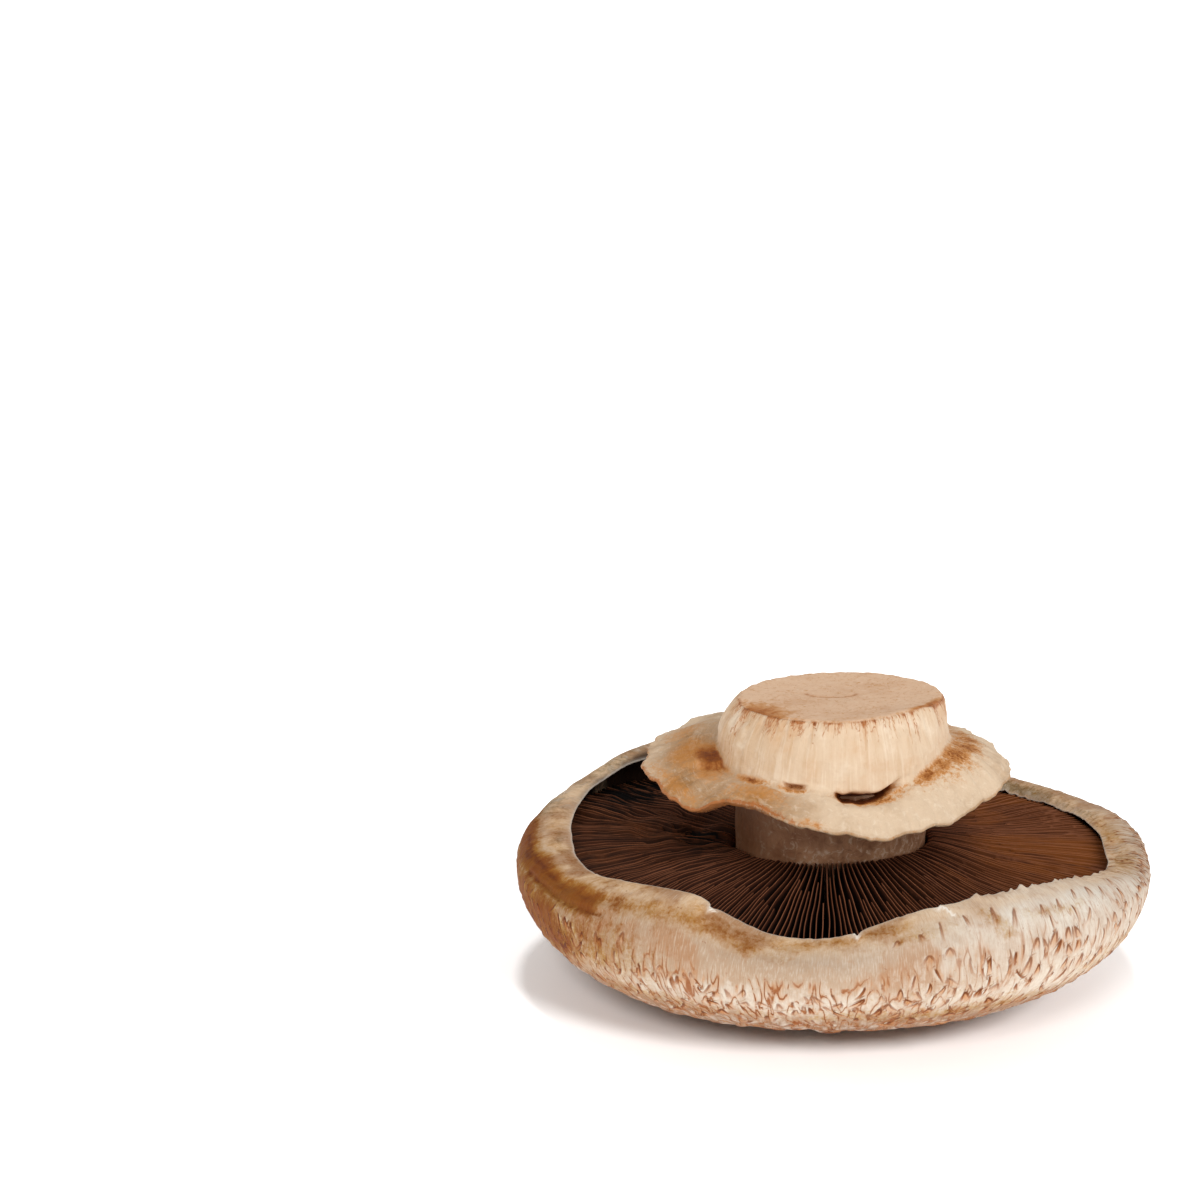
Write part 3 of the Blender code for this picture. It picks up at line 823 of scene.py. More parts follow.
@dataclass(frozen=True)
class Tufts:
    """Tufts of skin in rows, with brown tips that point to the margin, and a few larger ones that stand alone.

    across and pitch are the width and spacing of a row, broad is a tuft's share of its width, and bare is the length
    along the skin at which the rows end. Each single one has its angle and its tip's length along the skin, and then
    its half width, length, lean and opening.
    """

    seed: int = 23
    first: float = 15.0
    last: float = 74.0
    across: Line = Line(((15.0, 6.5), (40.0, 5.0), (50.0, 3.2), (58.0, 2.5), (74.0, 2.3)))
    pitch: Line = Line(((15.0, 5.0), (40.0, 4.2), (50.0, 3.0), (58.0, 2.6), (74.0, 2.4)))
    broad: Line = Line(((38.0, 0.40), (56.0, 0.29)))
    bare: Round = Round(((0, 72.5), (40, 70.5), (90, 69.0), (140, 67.5), (180, 67.0), (205, 66.8), (218, 66.5),
                         (228, 65.5), (238, 64.3), (250, 62.8), (270, 62.6), (280, 63.8), (290, 66.5), (302, 68.6),
                         (320, 69.8), (340, 70.8)))
    single: tuple[tuple[float, ...], ...] = (
        (281.0, 70.2, 0.7, 1.4, 0.3, 0.9), (284.9, 70.2, 0.7, 1.4, -0.3, 0.6), (288.8, 71.4, 0.5, 3.4, 0.05, 0.3),
        (293.4, 71.8, 0.5, 2.6, -0.2, 0.6), (299.2, 72.2, 0.7, 3.6, 0.15, 0.6), (303.2, 71.0, 0.7, 3.6, 0.35, 0.7),
        (309.0, 70.6, 0.5, 2.0, 0.3, 0.8), (313.0, 70.8, 0.5, 2.2, 0.3, 0.5), (318.0, 71.8, 0.5, 2.2, 0.35, 0.8),
        (322.6, 71.8, 0.8, 2.8, 0.2, 1.1), (326.4, 71.2, 0.5, 2.4, 0.4, 0.6), (331.5, 72.2, 0.5, 2.4, 0.3, 0.7),
        (286.0, 66.6, 1.0, 1.7, 0.0, 1.3), (289.6, 67.2, 0.9, 1.6, 0.1, 1.2), (232.0, 66.0, 0.8, 2.2, 0.1, 0.9),
        (226.0, 64.6, 0.8, 2.4, -0.1, 0.8))
    single_ink: float = 0.55

    def lay(self, angle: np.ndarray, along: np.ndarray, mean_radius: np.ndarray) -> dict[str, np.ndarray]:
        """Finds the nearest tuft of each grid point and the point's place in it.

        A row's count of tufts is its girth over their width, and eight seeded traits jitter, turn and size each.
        A point's u runs across its tuft in half widths, and v down from the tip in lengths.

        Args:
            angle: the columns' angles.
            along: the rows' lengths along the skin.
            mean_radius: the rows' mean radius.

        Returns:
            Grids: tuft_u, tuft_v, tuft_open, tuft_ink, and lift in millimetres.
        """
        tips = [self.first]
        while tips[-1] < self.last:
            tips.append(tips[-1] + float(self.pitch.at(tips[-1])))
        tip = np.array(tips)
        step, wide = self.pitch.at(tip), self.across.at(tip)
        count = (2 * math.pi * np.interp(tip, along, mean_radius) / wide).astype(int)
        table = np.random.default_rng(self.seed).uniform(0.0, 1.0, (len(tip), count.max(), 8))
        a, s, r = angle[None, :], along[:, None], mean_radius[:, None]
        shape = (len(along), len(angle))
        nearest = Nearest(shape)
        base = np.searchsorted(tip, s) - 1
        for up in (0, 1, 2):
            row = np.clip(base + up, 0, len(tip) - 1)
            home = np.floor(a / 360.0 * count[row])
            for side in (-1, 0, 1):
                traits = table[np.broadcast_to(row, shape), ((home + side) % count[row]).astype(int)]
                jitter, high, size, length, lean, curve, flip, bold = np.moveaxis(traits, -1, 0)
                phi = (home + side + 0.5 + (jitter - 0.5) * 0.75) * 360.0 / count[row]
                top = tip[row] + (high - 0.5) * step[row] * 0.9
                y = s - top
                x = np.radians(turn_gap(a, phi)) * r * np.where(flip < 0.5, -1.0, 1.0)
                x = x - (lean - 0.5) * 0.9 * y + (curve - 0.5) * 0.35 * y * np.abs(y)
                half = wide[row] * self.broad.at(top) * (0.6 + 0.8 * size)
                u, v = x / half, -y / (step[row] * (0.7 + 0.7 * length))
                raised = np.exp(-np.clip(v, 0, None) / 0.6) * ease(v, -0.3, 0.15) * np.clip(1 - (u / 1.5) ** 2, 0, 1)
                gone = (top > self.bare.at(phi) - 4.0 * size**2) | (base + up >= len(tip)) | (base + up < 0)
                tent = np.clip(bold * 2.2 - 0.45, 0.0, 1.25) * (1 + np.sign(x) * (jitter - 0.5))
                nearest.offer(u, v, Nearest.FAR, gone, tuft_open=tent, tuft_ink=0.4 + 0.6 * high,
                              lift=raised * (half * (0.16 + 0.2 * bold)))
        for phi, top, half, length, lean, tent in self.single:
            u = (np.radians(turn_gap(a, phi)) * r - lean * (s - top)) / half
            nearest.offer(u, (top - s) / length, 1.0, False, tuft_open=tent, tuft_ink=self.single_ink, lift=0.0)
        return nearest.settle()


@dataclass(frozen=True)
class Cap:
    """The cap: resting flat, tufted flank, rolled torn margin and the hollow behind it.

    A place up the skin is w: 0 in the middle of the cap, 1 at its widest and 2 at the margin's edge, or s, its mean
    length from the middle in millimetres.
    """

    widest: Round = Round(((0, 54.2), (20, 54.9), (35, 54.2), (60, 52.6), (90, 52.2), (120, 52.6), (140, 53.3),
                           (160, 54.7), (180, 55.6), (195, 55.9), (210, 55.9), (225, 56.1), (240, 56.0), (270, 55.5),
                           (300, 55.6), (330, 55.4)))
    widest_height: Round = Round(((0, 23.4), (20, 23.4), (45, 22.2), (90, 21.0), (135, 20.4), (160, 20.8),
                                  (180, 21.4), (198, 21.0), (215, 19.8), (235, 18.6), (270, 18.5), (315, 20.5),
                                  (340, 22.0)))
    margin_top: Round = Round(((0, 25.3), (22, 25.8), (45, 25.8), (70, 27.4), (95, 30.4), (120, 32.7), (140, 32.3),
                               (155, 30.4), (170, 28.8), (185, 27.2), (200, 26.1), (211, 25.9), (221, 27.1),
                               (235, 28.4), (243, 28.2), (250, 25.6), (257, 23.8), (264, 23.3), (272, 24.1),
                               (281, 26.7), (288, 28.3), (295, 29.0), (305, 29.5), (319, 29.1), (335, 26.9),
                               (350, 25.2)))
    margin_radius: Round = Round(((0, 45.9), (12, 46.6), (25, 46.8), (45, 46.0), (90, 44.0), (135, 44.0),
                                  (160, 45.4), (180, 45.6), (192, 45.6), (204, 46.2), (225, 46.5), (270, 46.5),
                                  (315, 46.8), (340, 46.8), (350, 46.6)))
    roll: Round = Round(((0, 150), (20, 157), (45, 158), (70, 150), (90, 142), (122, 136), (138, 125), (150, 114),
                         (165, 112), (185, 110), (210, 104), (270, 100), (325, 104), (342, 126)))
    roundness: Round = Round(((0, 2.2), (90, 2.2), (150, 2.3), (180, 2.6), (212, 3.0), (238, 2.7), (270, 2.25),
                              (300, 2.2), (325, 2.2)))
    flat_radius: float = 13.0
    mean_widest: float = 55.0
    columns: int = 790
    crown_rows: int = 20
    flank_rows: int = 86
    flank_start: float = 46.0
    torn_from: float = 1.62
    whole_end: float = 1.994
    sunk: float = 0.3
    tears: tuple[Mark, ...] = (Mark(246.2, 0, 0.7, 1, 0.14), Mark(274.3, 0, 0.7, 1, 0.16), Mark(289.6, 0, 0.6, 1, 0.12),
                               Mark(96.0, 0, 1.0, 1, 0.18))
    splits: tuple[Trail, ...] = (
        Trail(((289.6, 76.0), (291.0, 74.3), (291.9, 72.4)), 0.42, 1.0),
        Trail(((246.0, 76.0), (246.9, 74.6)), 0.35, 0.9), Trail(((273.9, 76.0), (274.6, 74.4)), 0.35, 0.9),
        Trail(((269.8, 71.0), (270.6, 69.0)), 0.3, 0.5))
    split_lip: float = 291.5
    grooves: tuple[Trail, ...] = (
        Trail(((205.0, 70.0), (212.0, 70.6), (219.0, 70.0), (228.0, 70.2)), 0.9, 0.6),
        Trail(((198.0, 66.8), (208.0, 67.6), (216.0, 67.2), (226.0, 67.6)), 0.6, 0.7))
    rust: tuple[Mark | Trail, ...] = (
        *grooves, Trail(((184.0, 68.6), (190.0, 69.4), (198.0, 69.2), (207.0, 69.9)), 1.0, 0.9),
        Trail(((188.0, 65.0), (198.0, 64.0), (206.0, 62.0)), 1.2, 0.4), Mark(193, 68.4, 5, 1.3, 1.0),
        Mark(203, 69.2, 3, 1.0, 0.9), Mark(212, 69.6, 4, 0.9, 0.8), Mark(196, 66.0, 7, 1.6, 0.65),
        Trail(((244.0, 72.8), (249.0, 71.8), (254.0, 71.6)), 0.6, 0.55),
        Trail(((248.0, 70.6), (254.0, 69.4), (258.0, 69.0)), 0.9, 0.4), Mark(262.0, 73.6, 3, 0.7, 0.4),
        Trail(((340.0, 72.0), (343.0, 69.0)), 0.8, 0.5), Mark(352.0, 73.6, 4, 1.0, 0.7), Mark(6.0, 74.4, 5, 1.2, 0.8),
        Mark(3.0, 71.6, 3, 1.2, 0.6), Mark(18.0, 74.4, 5, 1.2, 0.6),
        Mark(281, 69.5, 1.2, 0.9, 0.7), Mark(285, 69.9, 1.3, 0.7, 0.65))
    ochre: tuple[Mark | Trail, ...] = (
        Trail(((172.0, 67.5), (188.0, 68.0), (200.0, 68.6), (212.0, 69.2), (222.0, 69.4)), 3.2, 1.5),
        Trail(((222.0, 69.4), (232.0, 69.6), (242.0, 70.8), (249.0, 71.6), (256.0, 71.0)), 2.4, 0.7),
        Mark(224, 62.0, 16, 7.0, 0.75), Mark(300, 60.0, 40, 2.5, 0.25),
        Trail(((178.0, 63.5), (196.0, 63.5), (212.0, 65.0)), 4.0, 1.0), Mark(204, 60.0, 19, 7.0, 1.5),
        Trail(((176.0, 73.4), (205.0, 74.2), (235.0, 74.6)), 2.4, 0.5), Mark(249, 71.2, 4, 1.6, 0.7),
        Trail(((244.0, 73.0), (256.0, 73.2), (268.0, 73.6), (282.0, 72.8)), 2.4, 0.6),
        Mark(256, 69.8, 8, 2.4, 0.5), Mark(284, 70.5, 9, 2.0, 0.5), Trail(((297.0, 72.0), (300.0, 67.6)), 1.3, 0.5),
        Trail(((305.0, 69.6), (312.0, 69.0), (319.0, 69.8)), 1.1, 0.4), Mark(350, 72.0, 15, 4.2, 0.6),
        Mark(10, 74.0, 14, 3.0, 0.7), Mark(40, 72.0, 20, 4.0, 0.5), Mark(95, 70.0, 24, 4.0, 0.6),
        Mark(150, 72.0, 20, 4.0, 0.3), Mark(232, 53.0, 40, 3.5, 0.6), Mark(290, 53.5, 40, 3.5, 0.65),
        Mark(330, 57.0, 22, 4.0, 0.5), Mark(232, 75.3, 10, 0.8, 0.5))
    grey: tuple[Mark | Trail, ...] = (
        Mark(150, 73.0, 22, 4.5, 0.6), Mark(172, 71.0, 11, 4.5, 0.65), Mark(192, 74.6, 9, 1.4, 0.45),
        Mark(80, 73.0, 40, 3.5, 0.8), Mark(22, 74.0, 12, 2.0, 0.5), Mark(50, 73.5, 22, 3.0, 0.85),
        Mark(352, 72.5, 12, 2.4, 0.4))

    def section(self, angle: np.ndarray, w: np.ndarray) -> tuple[np.ndarray, np.ndarray]:
        """Below the widest place a superellipse raised from the flat spot, above it an ellipse that rolls in.

        Args:
            angle: angles in degrees.
            w: places up the skin.

        Returns:
            Radius and height of the skin.
        """
        widest, middle = self.widest.at(angle), self.widest_height.at(angle)
        roll = np.radians(self.roll.at(angle))
        reach = (widest - self.margin_radius.at(angle)) / (1 - np.cos(roll))
        lower = np.clip(w, 0.0, 1.0) * math.pi / 2
        upper = np.clip(w - 1.0, 0.0, 1.0) * roll
        power = self.roundness.at(angle)
        radius = widest * np.sin(lower) ** (2 / power) - reach * (1 - np.cos(upper))
        flat = 1 - np.sqrt(1 - (self.flat_radius / self.mean_widest) ** power)
        bowl = np.maximum(0.0, (1 - np.cos(lower) - flat) / (1 - flat))
        return radius, middle * bowl + (self.margin_top.at(angle) - middle) * np.sin(upper)

    def outside(self, angle: np.ndarray, w: np.ndarray,
                sunk: np.ndarray | float) -> tuple[np.ndarray, np.ndarray]:
        """The section moved along its normal, which is taken from points just before and after.

        Args:
            angle: angles in degrees.
            w: places up the skin.
            sunk: how far inwards it moves.

        Returns:
            Radius and height of the moved skin.
        """
        step = 1e-3
        radius, height = self.section(angle, w)
        r0, z0 = self.section(angle, np.clip(w - step, 0.0, 2.0))
        r1, z1 = self.section(angle, np.clip(w + step, 0.0, 2.0))
        size = np.hypot(r1 - r0, z1 - z0)
        return radius - sunk * (z1 - z0) / size, height + sunk * (r1 - r0) / size

    def lengths(self) -> tuple[np.ndarray, np.ndarray, np.ndarray]:
        """Measures the mean section.

        Returns:
            Length along it, with w and the mean radius there.
        """
        w = np.linspace(0.0, 2.0, 401)
        angle = np.arange(24) * 15.0
        radius, height = (part.mean(axis=1) for part in self.section(angle[None, :], w[:, None]))
        length = np.concatenate([[0.0], np.cumsum(np.hypot(np.diff(radius), np.diff(height)))])
        return length, w, radius

    def margin_end(self, a: np.ndarray) -> np.ndarray:
        """Where the skin ends: just short of 2, less the tears, and less a raggedness that is strongest on the right.

        Args:
            a: the columns' angles.

        Returns:
            The end in w.
        """
        torn = sum(m.strength * bell(a, m.angle, m.half_angle, 1.3) for m in self.tears)
        right = 0.2 + 0.8 * bell(a, 312.0, 22.0) + 0.6 * bell(a, 50.0, 32.0)
        ragged = 0.5 + 0.5 * Grain(5).around(a, 96, 3)
        slow = 0.5 + 0.5 * Grain(6).around(a, 60)
        return self.whole_end - torn - 0.07 * right * ragged - 0.02 * slow

    def build(self) -> bpy.types.Object:
        """Lays out the skin from the resting flat to the margin, over its edge and down the inside to the floor.

        Returns:
            The cap's skin.
        """
        a = (np.arange(self.columns) * 360.0 / self.columns)[None, :]
        length, w_of, radius_of = self.lengths()
        total = length[-1]
        along = np.concatenate([np.linspace(self.flat_radius + 0.5, self.flank_start, self.crown_rows, endpoint=False),
                                np.linspace(self.flank_start, total, self.flank_rows)])
        s, end = along[:, None], self.margin_end(a)
        w = np.interp(s, length, w_of)
        share = (w - self.torn_from) / (2.0 - self.torn_from)
        w = np.where(share > 0, self.torn_from + share * (end - self.torn_from), w)
        values = Tufts().lay(a[0], along, np.interp(along, length, radius_of))
        lift = values.pop("lift") * ease(total - s, 1.5, 4.0) - self.sunk
        lift = lift + self._swell(a, s) * ease(total - s, 0.0, 3.0)
        radius, height = self.outside(a, w, -lift * ease(s, self.flat_radius, self.flat_radius + 6.0))
        teeth, split = self._teeth(a), blotch(self.splits, a, s)
        height = np.maximum(height + teeth * ease(s, total - 2.0, total), 0.0)
        height = height + split * np.where(a < self.split_lip, 0.3, -0.2)
        values |= self._stains(a, s, w, end, split)
        blocks = [(radius, height, values)] + self._inside(a, end, total, teeth)
        radius, height = np.vstack([b[0] for b in blocks]), np.vstack([b[1] for b in blocks])
        values = {key: np.vstack([np.broadcast_to(b[2].get(key, 0.0), b[0].shape) for b in blocks]) for key in values}
        return Sheet("cap_skin", radius, height, a, 0.0, values).build(CapFinish().material())

    def _stains(self, a: np.ndarray, s: np.ndarray, w: np.ndarray, end: np.ndarray,
                split: np.ndarray) -> dict[str, np.ndarray]:
        """Where each colour lies on the outside.

        Args:
            a: the columns' angles.
            s: the rows' lengths along the skin.
            w: the points' places up the skin.
            end: where the skin ends.
            split: weight of the splits.

        Returns:
            The weights by name.
        """
        turned = a + 1.5 * Grain(91).layered(a, s, 60, 6.0, 3)
        moved = s + 1.1 * Grain(92).layered(a, s, 60, 6.0, 3)
        bald = ease(s - Tufts.bare.at(a), -1.5, 2.5)
        notch = sum(m.strength / 0.3 * bell(a, m.angle, m.half_angle * 1.4) for m in self.tears)
        notch = np.maximum(notch * ease(w, end - 0.12, end - 0.05), ease(split, 0.45, 0.75))
        pale = 0.15 + 0.85 * bell(a, 318.0, 34.0) + 0.55 * bell(a, 258.0, 26.0) * (1 - ease(s, 58.0, 63.0))
        pale = pale * ease(s, 50.0, 56.0) * (1 - ease(s, 69.0, 73.0))
        return {"along": s + 0 * a, "rust": blotch(self.rust, turned, moved),
                "ochre": blotch(self.ochre, turned, moved), "grey": blotch(self.grey, turned, moved),
                "peach": ease(s, 58.0, 64.0) * (0.85 - 0.55 * bell(a, 320.0, 30.0)),
                # Painted shade where the skin rolls into the hollow at the back left.
                "inner": 0.9 * ease(w - 1.0 - 90.0 / self.roll.at(a), 0.06, 0.2) * bell(a, 146.0, 24.0, 4.0),
                "white": pale + 0.6 * bell(a, 312.0, 24.0) * ease(s, 66.0, 71.0),
                "cracked": np.maximum((1 - bald) * (0.3 + 0.7 * bell(a, 258.0, 30.0)),
                                      0.95 * bell(a, 356.0, 24.0) * ease(s, 62.0, 67.0)),
                "torn": np.maximum(0.65 * ease(w, end - 0.035, end), notch)}

    @staticmethod
    def _teeth(a: np.ndarray) -> np.ndarray:
        """The margin's teeth: in each cell of the turn one peak, (share of the way up to it)^1.6 * height.

        Args:
            a: the columns' angles.

        Returns:
            Height in millimetres.
        """
        torn = 0.12 + bell(a, 314.0, 22.0) + 0.25 * bell(a, 50.0, 32.0)
        total = np.zeros_like(a)
        for cells, tall, seed in ((131, 1.15, 8), (211, 0.55, 9)):
            table = np.random.default_rng(seed).uniform(0.0, 1.0, (2, cells))
            u = np.mod(a / 360.0, 1.0) * cells
            i = np.floor(u).astype(int)
            t, peak = u - i, 0.2 + 0.6 * table[0][i]
            total += tall * np.where(t < peak, t / peak, (1 - t) / (1 - peak)) ** 1.6 * table[1][i] ** 2.2
        return torn * (total + 0.35 * Grain(7).around(a, 70) - 0.3)

    def _swell(self, a: np.ndarray, s: np.ndarray) -> np.ndarray:
        """Slow lumps, the grooves along the left stain, folds at the back right corner, and fine roughness.

        Args:
            a: the columns' angles.
            s: the rows' lengths along the skin.

        Returns:
            How far the skin stands out, in millimetres.
        """
        folds = (bell(a, 0.0, 30.0) + 0.6 * bell(a, 165.0, 35.0)) * ease(s, 64.0, 71.0)
        return (0.30 * Grain(31).at(a, s, 16, 14.0) * ease(s, 24.0, 40.0)
                + 0.25 * Grain(32).layered(a, s, 50, 8.0, 3) * ease(s, 60.0, 70.0)
                + 0.08 * Grain(33).layered(a, s, 240, 2.0, 2) * ease(s, 22.0, 40.0)
                + 0.35 * Grain(34).at(a + 0.5 * s, s, 90, 5.0) * folds
                - 0.6 * blotch(self.grooves, a, s) - 0.15)

    def _inside(self, a: np.ndarray, end: np.ndarray, total: float,
                teeth: np.ndarray) -> list[tuple[np.ndarray, np.ndarray, dict[str, Any]]]:
        """Rows over the torn edge, down the inner face of the margin and in along the floor.

        Args:
            a: the columns' angles.
            end: where the outside ends.
            total: length along the skin at the margin.
            teeth: height of the margin's teeth.

        Returns:
            Radius, height and values of each row.
        """
        rows = []
        depth = 0.75 + 0.25 * Grain(41).around(a, 120)
        back_right = bell(a, 48.0, 42.0)
        for back, sunk, white, inner, kept in (
                (0.003, 0.35, 0.7, 0.0, 1.0), (0.012, 0.7, 0.45, 0.1, 0.8), (0.035, 1.0, 0.1, 0.35, 0.3),
                (0.08, 1.2, 0.0, 0.6, 0.0), (0.16, 1.4, 0.0, 0.8, 0.0), (0.26, 1.6, 0.0, 1.0, 0.0),
                (0.4, 1.9, 0.0, 1.0, 0.0), (0.6, 2.4, 0.0, 1.0, 0.0), (1.0, 3.1, 0.0, 1.0, 0.0)):
            w = np.maximum(end - back, 1.0)
            ripple = 0.12 * Grain(42).layered(a, w * 20.0, 90, 1.0, 2) * float(ease(np.array(back), 0.0, 0.1))
            radius, height = self.outside(a, w, self.sunk + sunk * depth + ripple)
            patchy = 0.5 + 0.5 * Grain(43).layered(a, w * 20.0, 70, 1.5, 2)
            # The inner face darkens with painted shade, less where it is lit at the back right.
            lit = np.minimum(1.0, 1.6 * back_right * (0.5 + 0.6 * patchy)) * (back < 0.2)
            rows.append((radius, height + kept * teeth, {
                "along": total + 4.0 * back, "ochre": 0.2 + 0.3 * back_right, "grey": 1.2 * back_right * patchy,
                "inner": inner * (1 - lit), "torn": white * (1 - 0.6 * back_right)}))
        # The floor under the gills is in painted shade.
        for radius, height in ((48.2, 16.8), (45.0, 15.5), (40.0, 15.0), (28.0, 15.0), (14.0, 15.0)):
            rows.append((radius + 0 * a, height + 0 * a, {"along": 60.0, "inner": 1.0}))
        return rows


@dataclass(frozen=True)
class Gills:
    """Long gills with a short one between each pair, raised from one bed as a single folded surface.

    They run from the inner to the outer radius. Their crests start at top by the stem and fall to the margin, and
    lift and rise add to them by the stem and by the margin. short is the range of radii at which short gills start.
    """

    pairs: int = 150
    rows: int = 58
    inner: float = 16.9
    outer: float = 47.6
    top: float = 25.0
    fall: tuple[float, float] = (0.8, 3.9)
    tilt: float = 0.7
    rise: Round = Round(((0, 2.8), (30, 3.6), (60, 3.2), (90, 3.1), (120, 3.6), (140, 4.9), (160, 6.0), (178, 4.6),
                         (195, 2.5), (215, 0.7), (240, 0.0), (300, 0.0), (330, 0.8)))
    short: tuple[float, float] = (20.5, 32.0)
    floor: float = 16.1
    underside: float = 15.3
    crest_half: float = 0.11
    root_half: float = 0.2
    lift: Round = Round(((0, 1.2), (45, 0.6), (90, 0.2), (135, 0.0), (180, -0.5), (225, 0.6), (270, 1.5), (315, 1.6)))
    shift: float = -0.9
    seed: int = 3

    def build(self) -> bpy.types.Object:
        """Computes the folded surface.

        Each gill takes five columns: root, shoulder, crest, shoulder, root. A gill's place is its share of a turn,
        plus a wave that neighbours share, plus a small one of its own. Short gills rise from the bed further out.

        Returns:
            The gills.
        """
        rng = np.random.default_rng(self.seed)
        count = 2 * self.pairs
        t = np.linspace(0.0, 1.0, self.rows)[::-1]
        r = (self.inner + (self.outer - self.inner) * t**1.05)[:, None]
        starts, jitter = rng.uniform(*self.short, count), rng.uniform(-0.05, 0.05, count)
        drop, blade = 0.30 * rng.uniform(0.0, 1.0, count) ** 2, rng.uniform(0.0, 1.0, count)
        rise = ease(r - np.where(np.arange(count) % 2 == 0, 0.0, starts), 0.0, 2.0)
        phi = (np.arange(count) / 2 + jitter) * 360.0 / self.pairs + 0 * r
        part = (r - self.inner) / (self.outer - self.inner)
        left, right, back = bell(phi, 178.0, 34.0), bell(phi, 5.0, 60.0), bell(phi, 100.0, 60.0)
        own = Grain(51).at(phi, r, 130, 7.0) * 0.24 + Grain(52).at(phi, r, 282, 3.5) * 0.08
        shared = Grain(53).at(phi, r, 13, 16.0) * 2.2 + left * Grain(54).at(phi, r, 40, 4.0) * 4.2 * (1 - part)
        phi = phi + own + shared * ease(part, 0.0, 0.35)
        lean = (Grain(55).at(phi, r, 60, 9.0) * (0.16 + 0.6 * left + 0.4 * back)
                + right * (0.8 * Grain(56).at(phi, r, 18, 22.0) + 0.5))
        tall = self._crests(phi, r, part, left) - drop
        bunch = ease(Grain(59).at(phi, r, 44, 3.5), -0.1, 0.7)
        # Painted shade: in the hollow under the back-left rim, and among the bunched gills by the stem at the left.
        gill_shade = np.maximum(bell(phi, 146.0, 24.0) * ease(part, 0.45, 0.85),
                          left * (0.35 + 0.65 * (1 - ease(part, 0.0, 0.5)) * bunch))
        # Where the gills lie open, most at the right, their walls get less painted shade.
        gap = 0.1 + 0.9 * right * ease(part, 0.0, 0.4) + 0.35 * left + 0.3 * back
        tip = ease(18.6 - r, 0.0, 1.4) * 0.5 * bell(phi, 275.0, 50.0)
        phi, up, lean, tall, gill_shade, gap, tip = (grid[..., None] for grid in (phi, rise, lean, tall, gill_shade, gap, tip))
        offsets = np.array([-self.root_half, -self.crest_half, 0.0, self.crest_half, self.root_half])
        moved = offsets * (0.4 + 0.6 * up) + np.array([0.0, 1.0, 1.0, 1.0, 0.0]) * lean * up
        column = phi + moved * (180.0 / (math.pi * r))[..., None]
        level = self.floor + (tall - self.floor) * up * np.array([0.0, 0.985, 1.0, 0.985, 0.0])
        values = {"crest": np.array([0.0, 0.9, 1.0, 0.9, 0.0]) * up, "blade": blade[:, None], "gill_shade": gill_shade,
                  "open": gap, "tip": tip, "along": r[..., None]}
        shape = (self.rows, count * 5)
        values = {key: np.broadcast_to(grid, level.shape).reshape(shape) for key, grid in values.items()}
        return self._close(level.reshape(shape), column.reshape(shape), self.shift * (1 - part), values)

    def _crests(self, phi: np.ndarray, r: np.ndarray, part: np.ndarray, left: np.ndarray) -> np.ndarray:
        """The crests fall as a quadratic of the share out, and are tilted, raised and roughened.

        Args:
            phi: the gills' angles.
            r: the rows' radii.
            part: the rows' shares of the way out.
            left: weight of the left side.

        Returns:
            Height in millimetres.
        """
        rough = 0.15 * Grain(57).layered(phi, r, 282, 4.0, 2)
        tufted = (0.3 + 0.9 * (1 - part)) * left * Grain(58).at(phi, r, 60, 4.0)
        tilted = self.tilt * cosine(phi - 135.0) * ease(part, 0.0, 0.5)
        by_stem = self.lift.at(phi) * ease(0.5 - part, 0.0, 0.5) - 0.5 * ease(1.0 - (r - self.inner), 0.0, 1.0)
        falling = self.top - self.fall[0] * part - self.fall[1] * part**2
        return falling + tilted + by_stem + rough + tufted + self.rise.at(phi) * part**2

    def _close(self, height: np.ndarray, angle: np.ndarray, shift: np.ndarray,
               values: dict[str, np.ndarray]) -> bpy.types.Object:
        """Adds the bed's underside as two flat rows, so that the folds close into a solid.

        Args:
            height: the folds' height.
            angle: the folds' angles.
            shift: how far each row's middle lies along X.
            values: the folds' values by name; along is their radius.

        Returns:
            The gills.
        """
        under = np.ones((2, height.shape[1]))
        radius = np.vstack([values["along"], under * [[self.inner], [self.outer]]])
        height = np.vstack([height, under * self.underside])
        angle = np.vstack([angle, angle[-1:], angle[:1]])
        shift = np.vstack([shift, [[self.shift], [0.0]]])
        values = {key: np.vstack([grid, under * 0]) for key, grid in values.items()}
        return Sheet("gill_folds", radius, height, angle, shift, values, True).build(GillFinish().material())


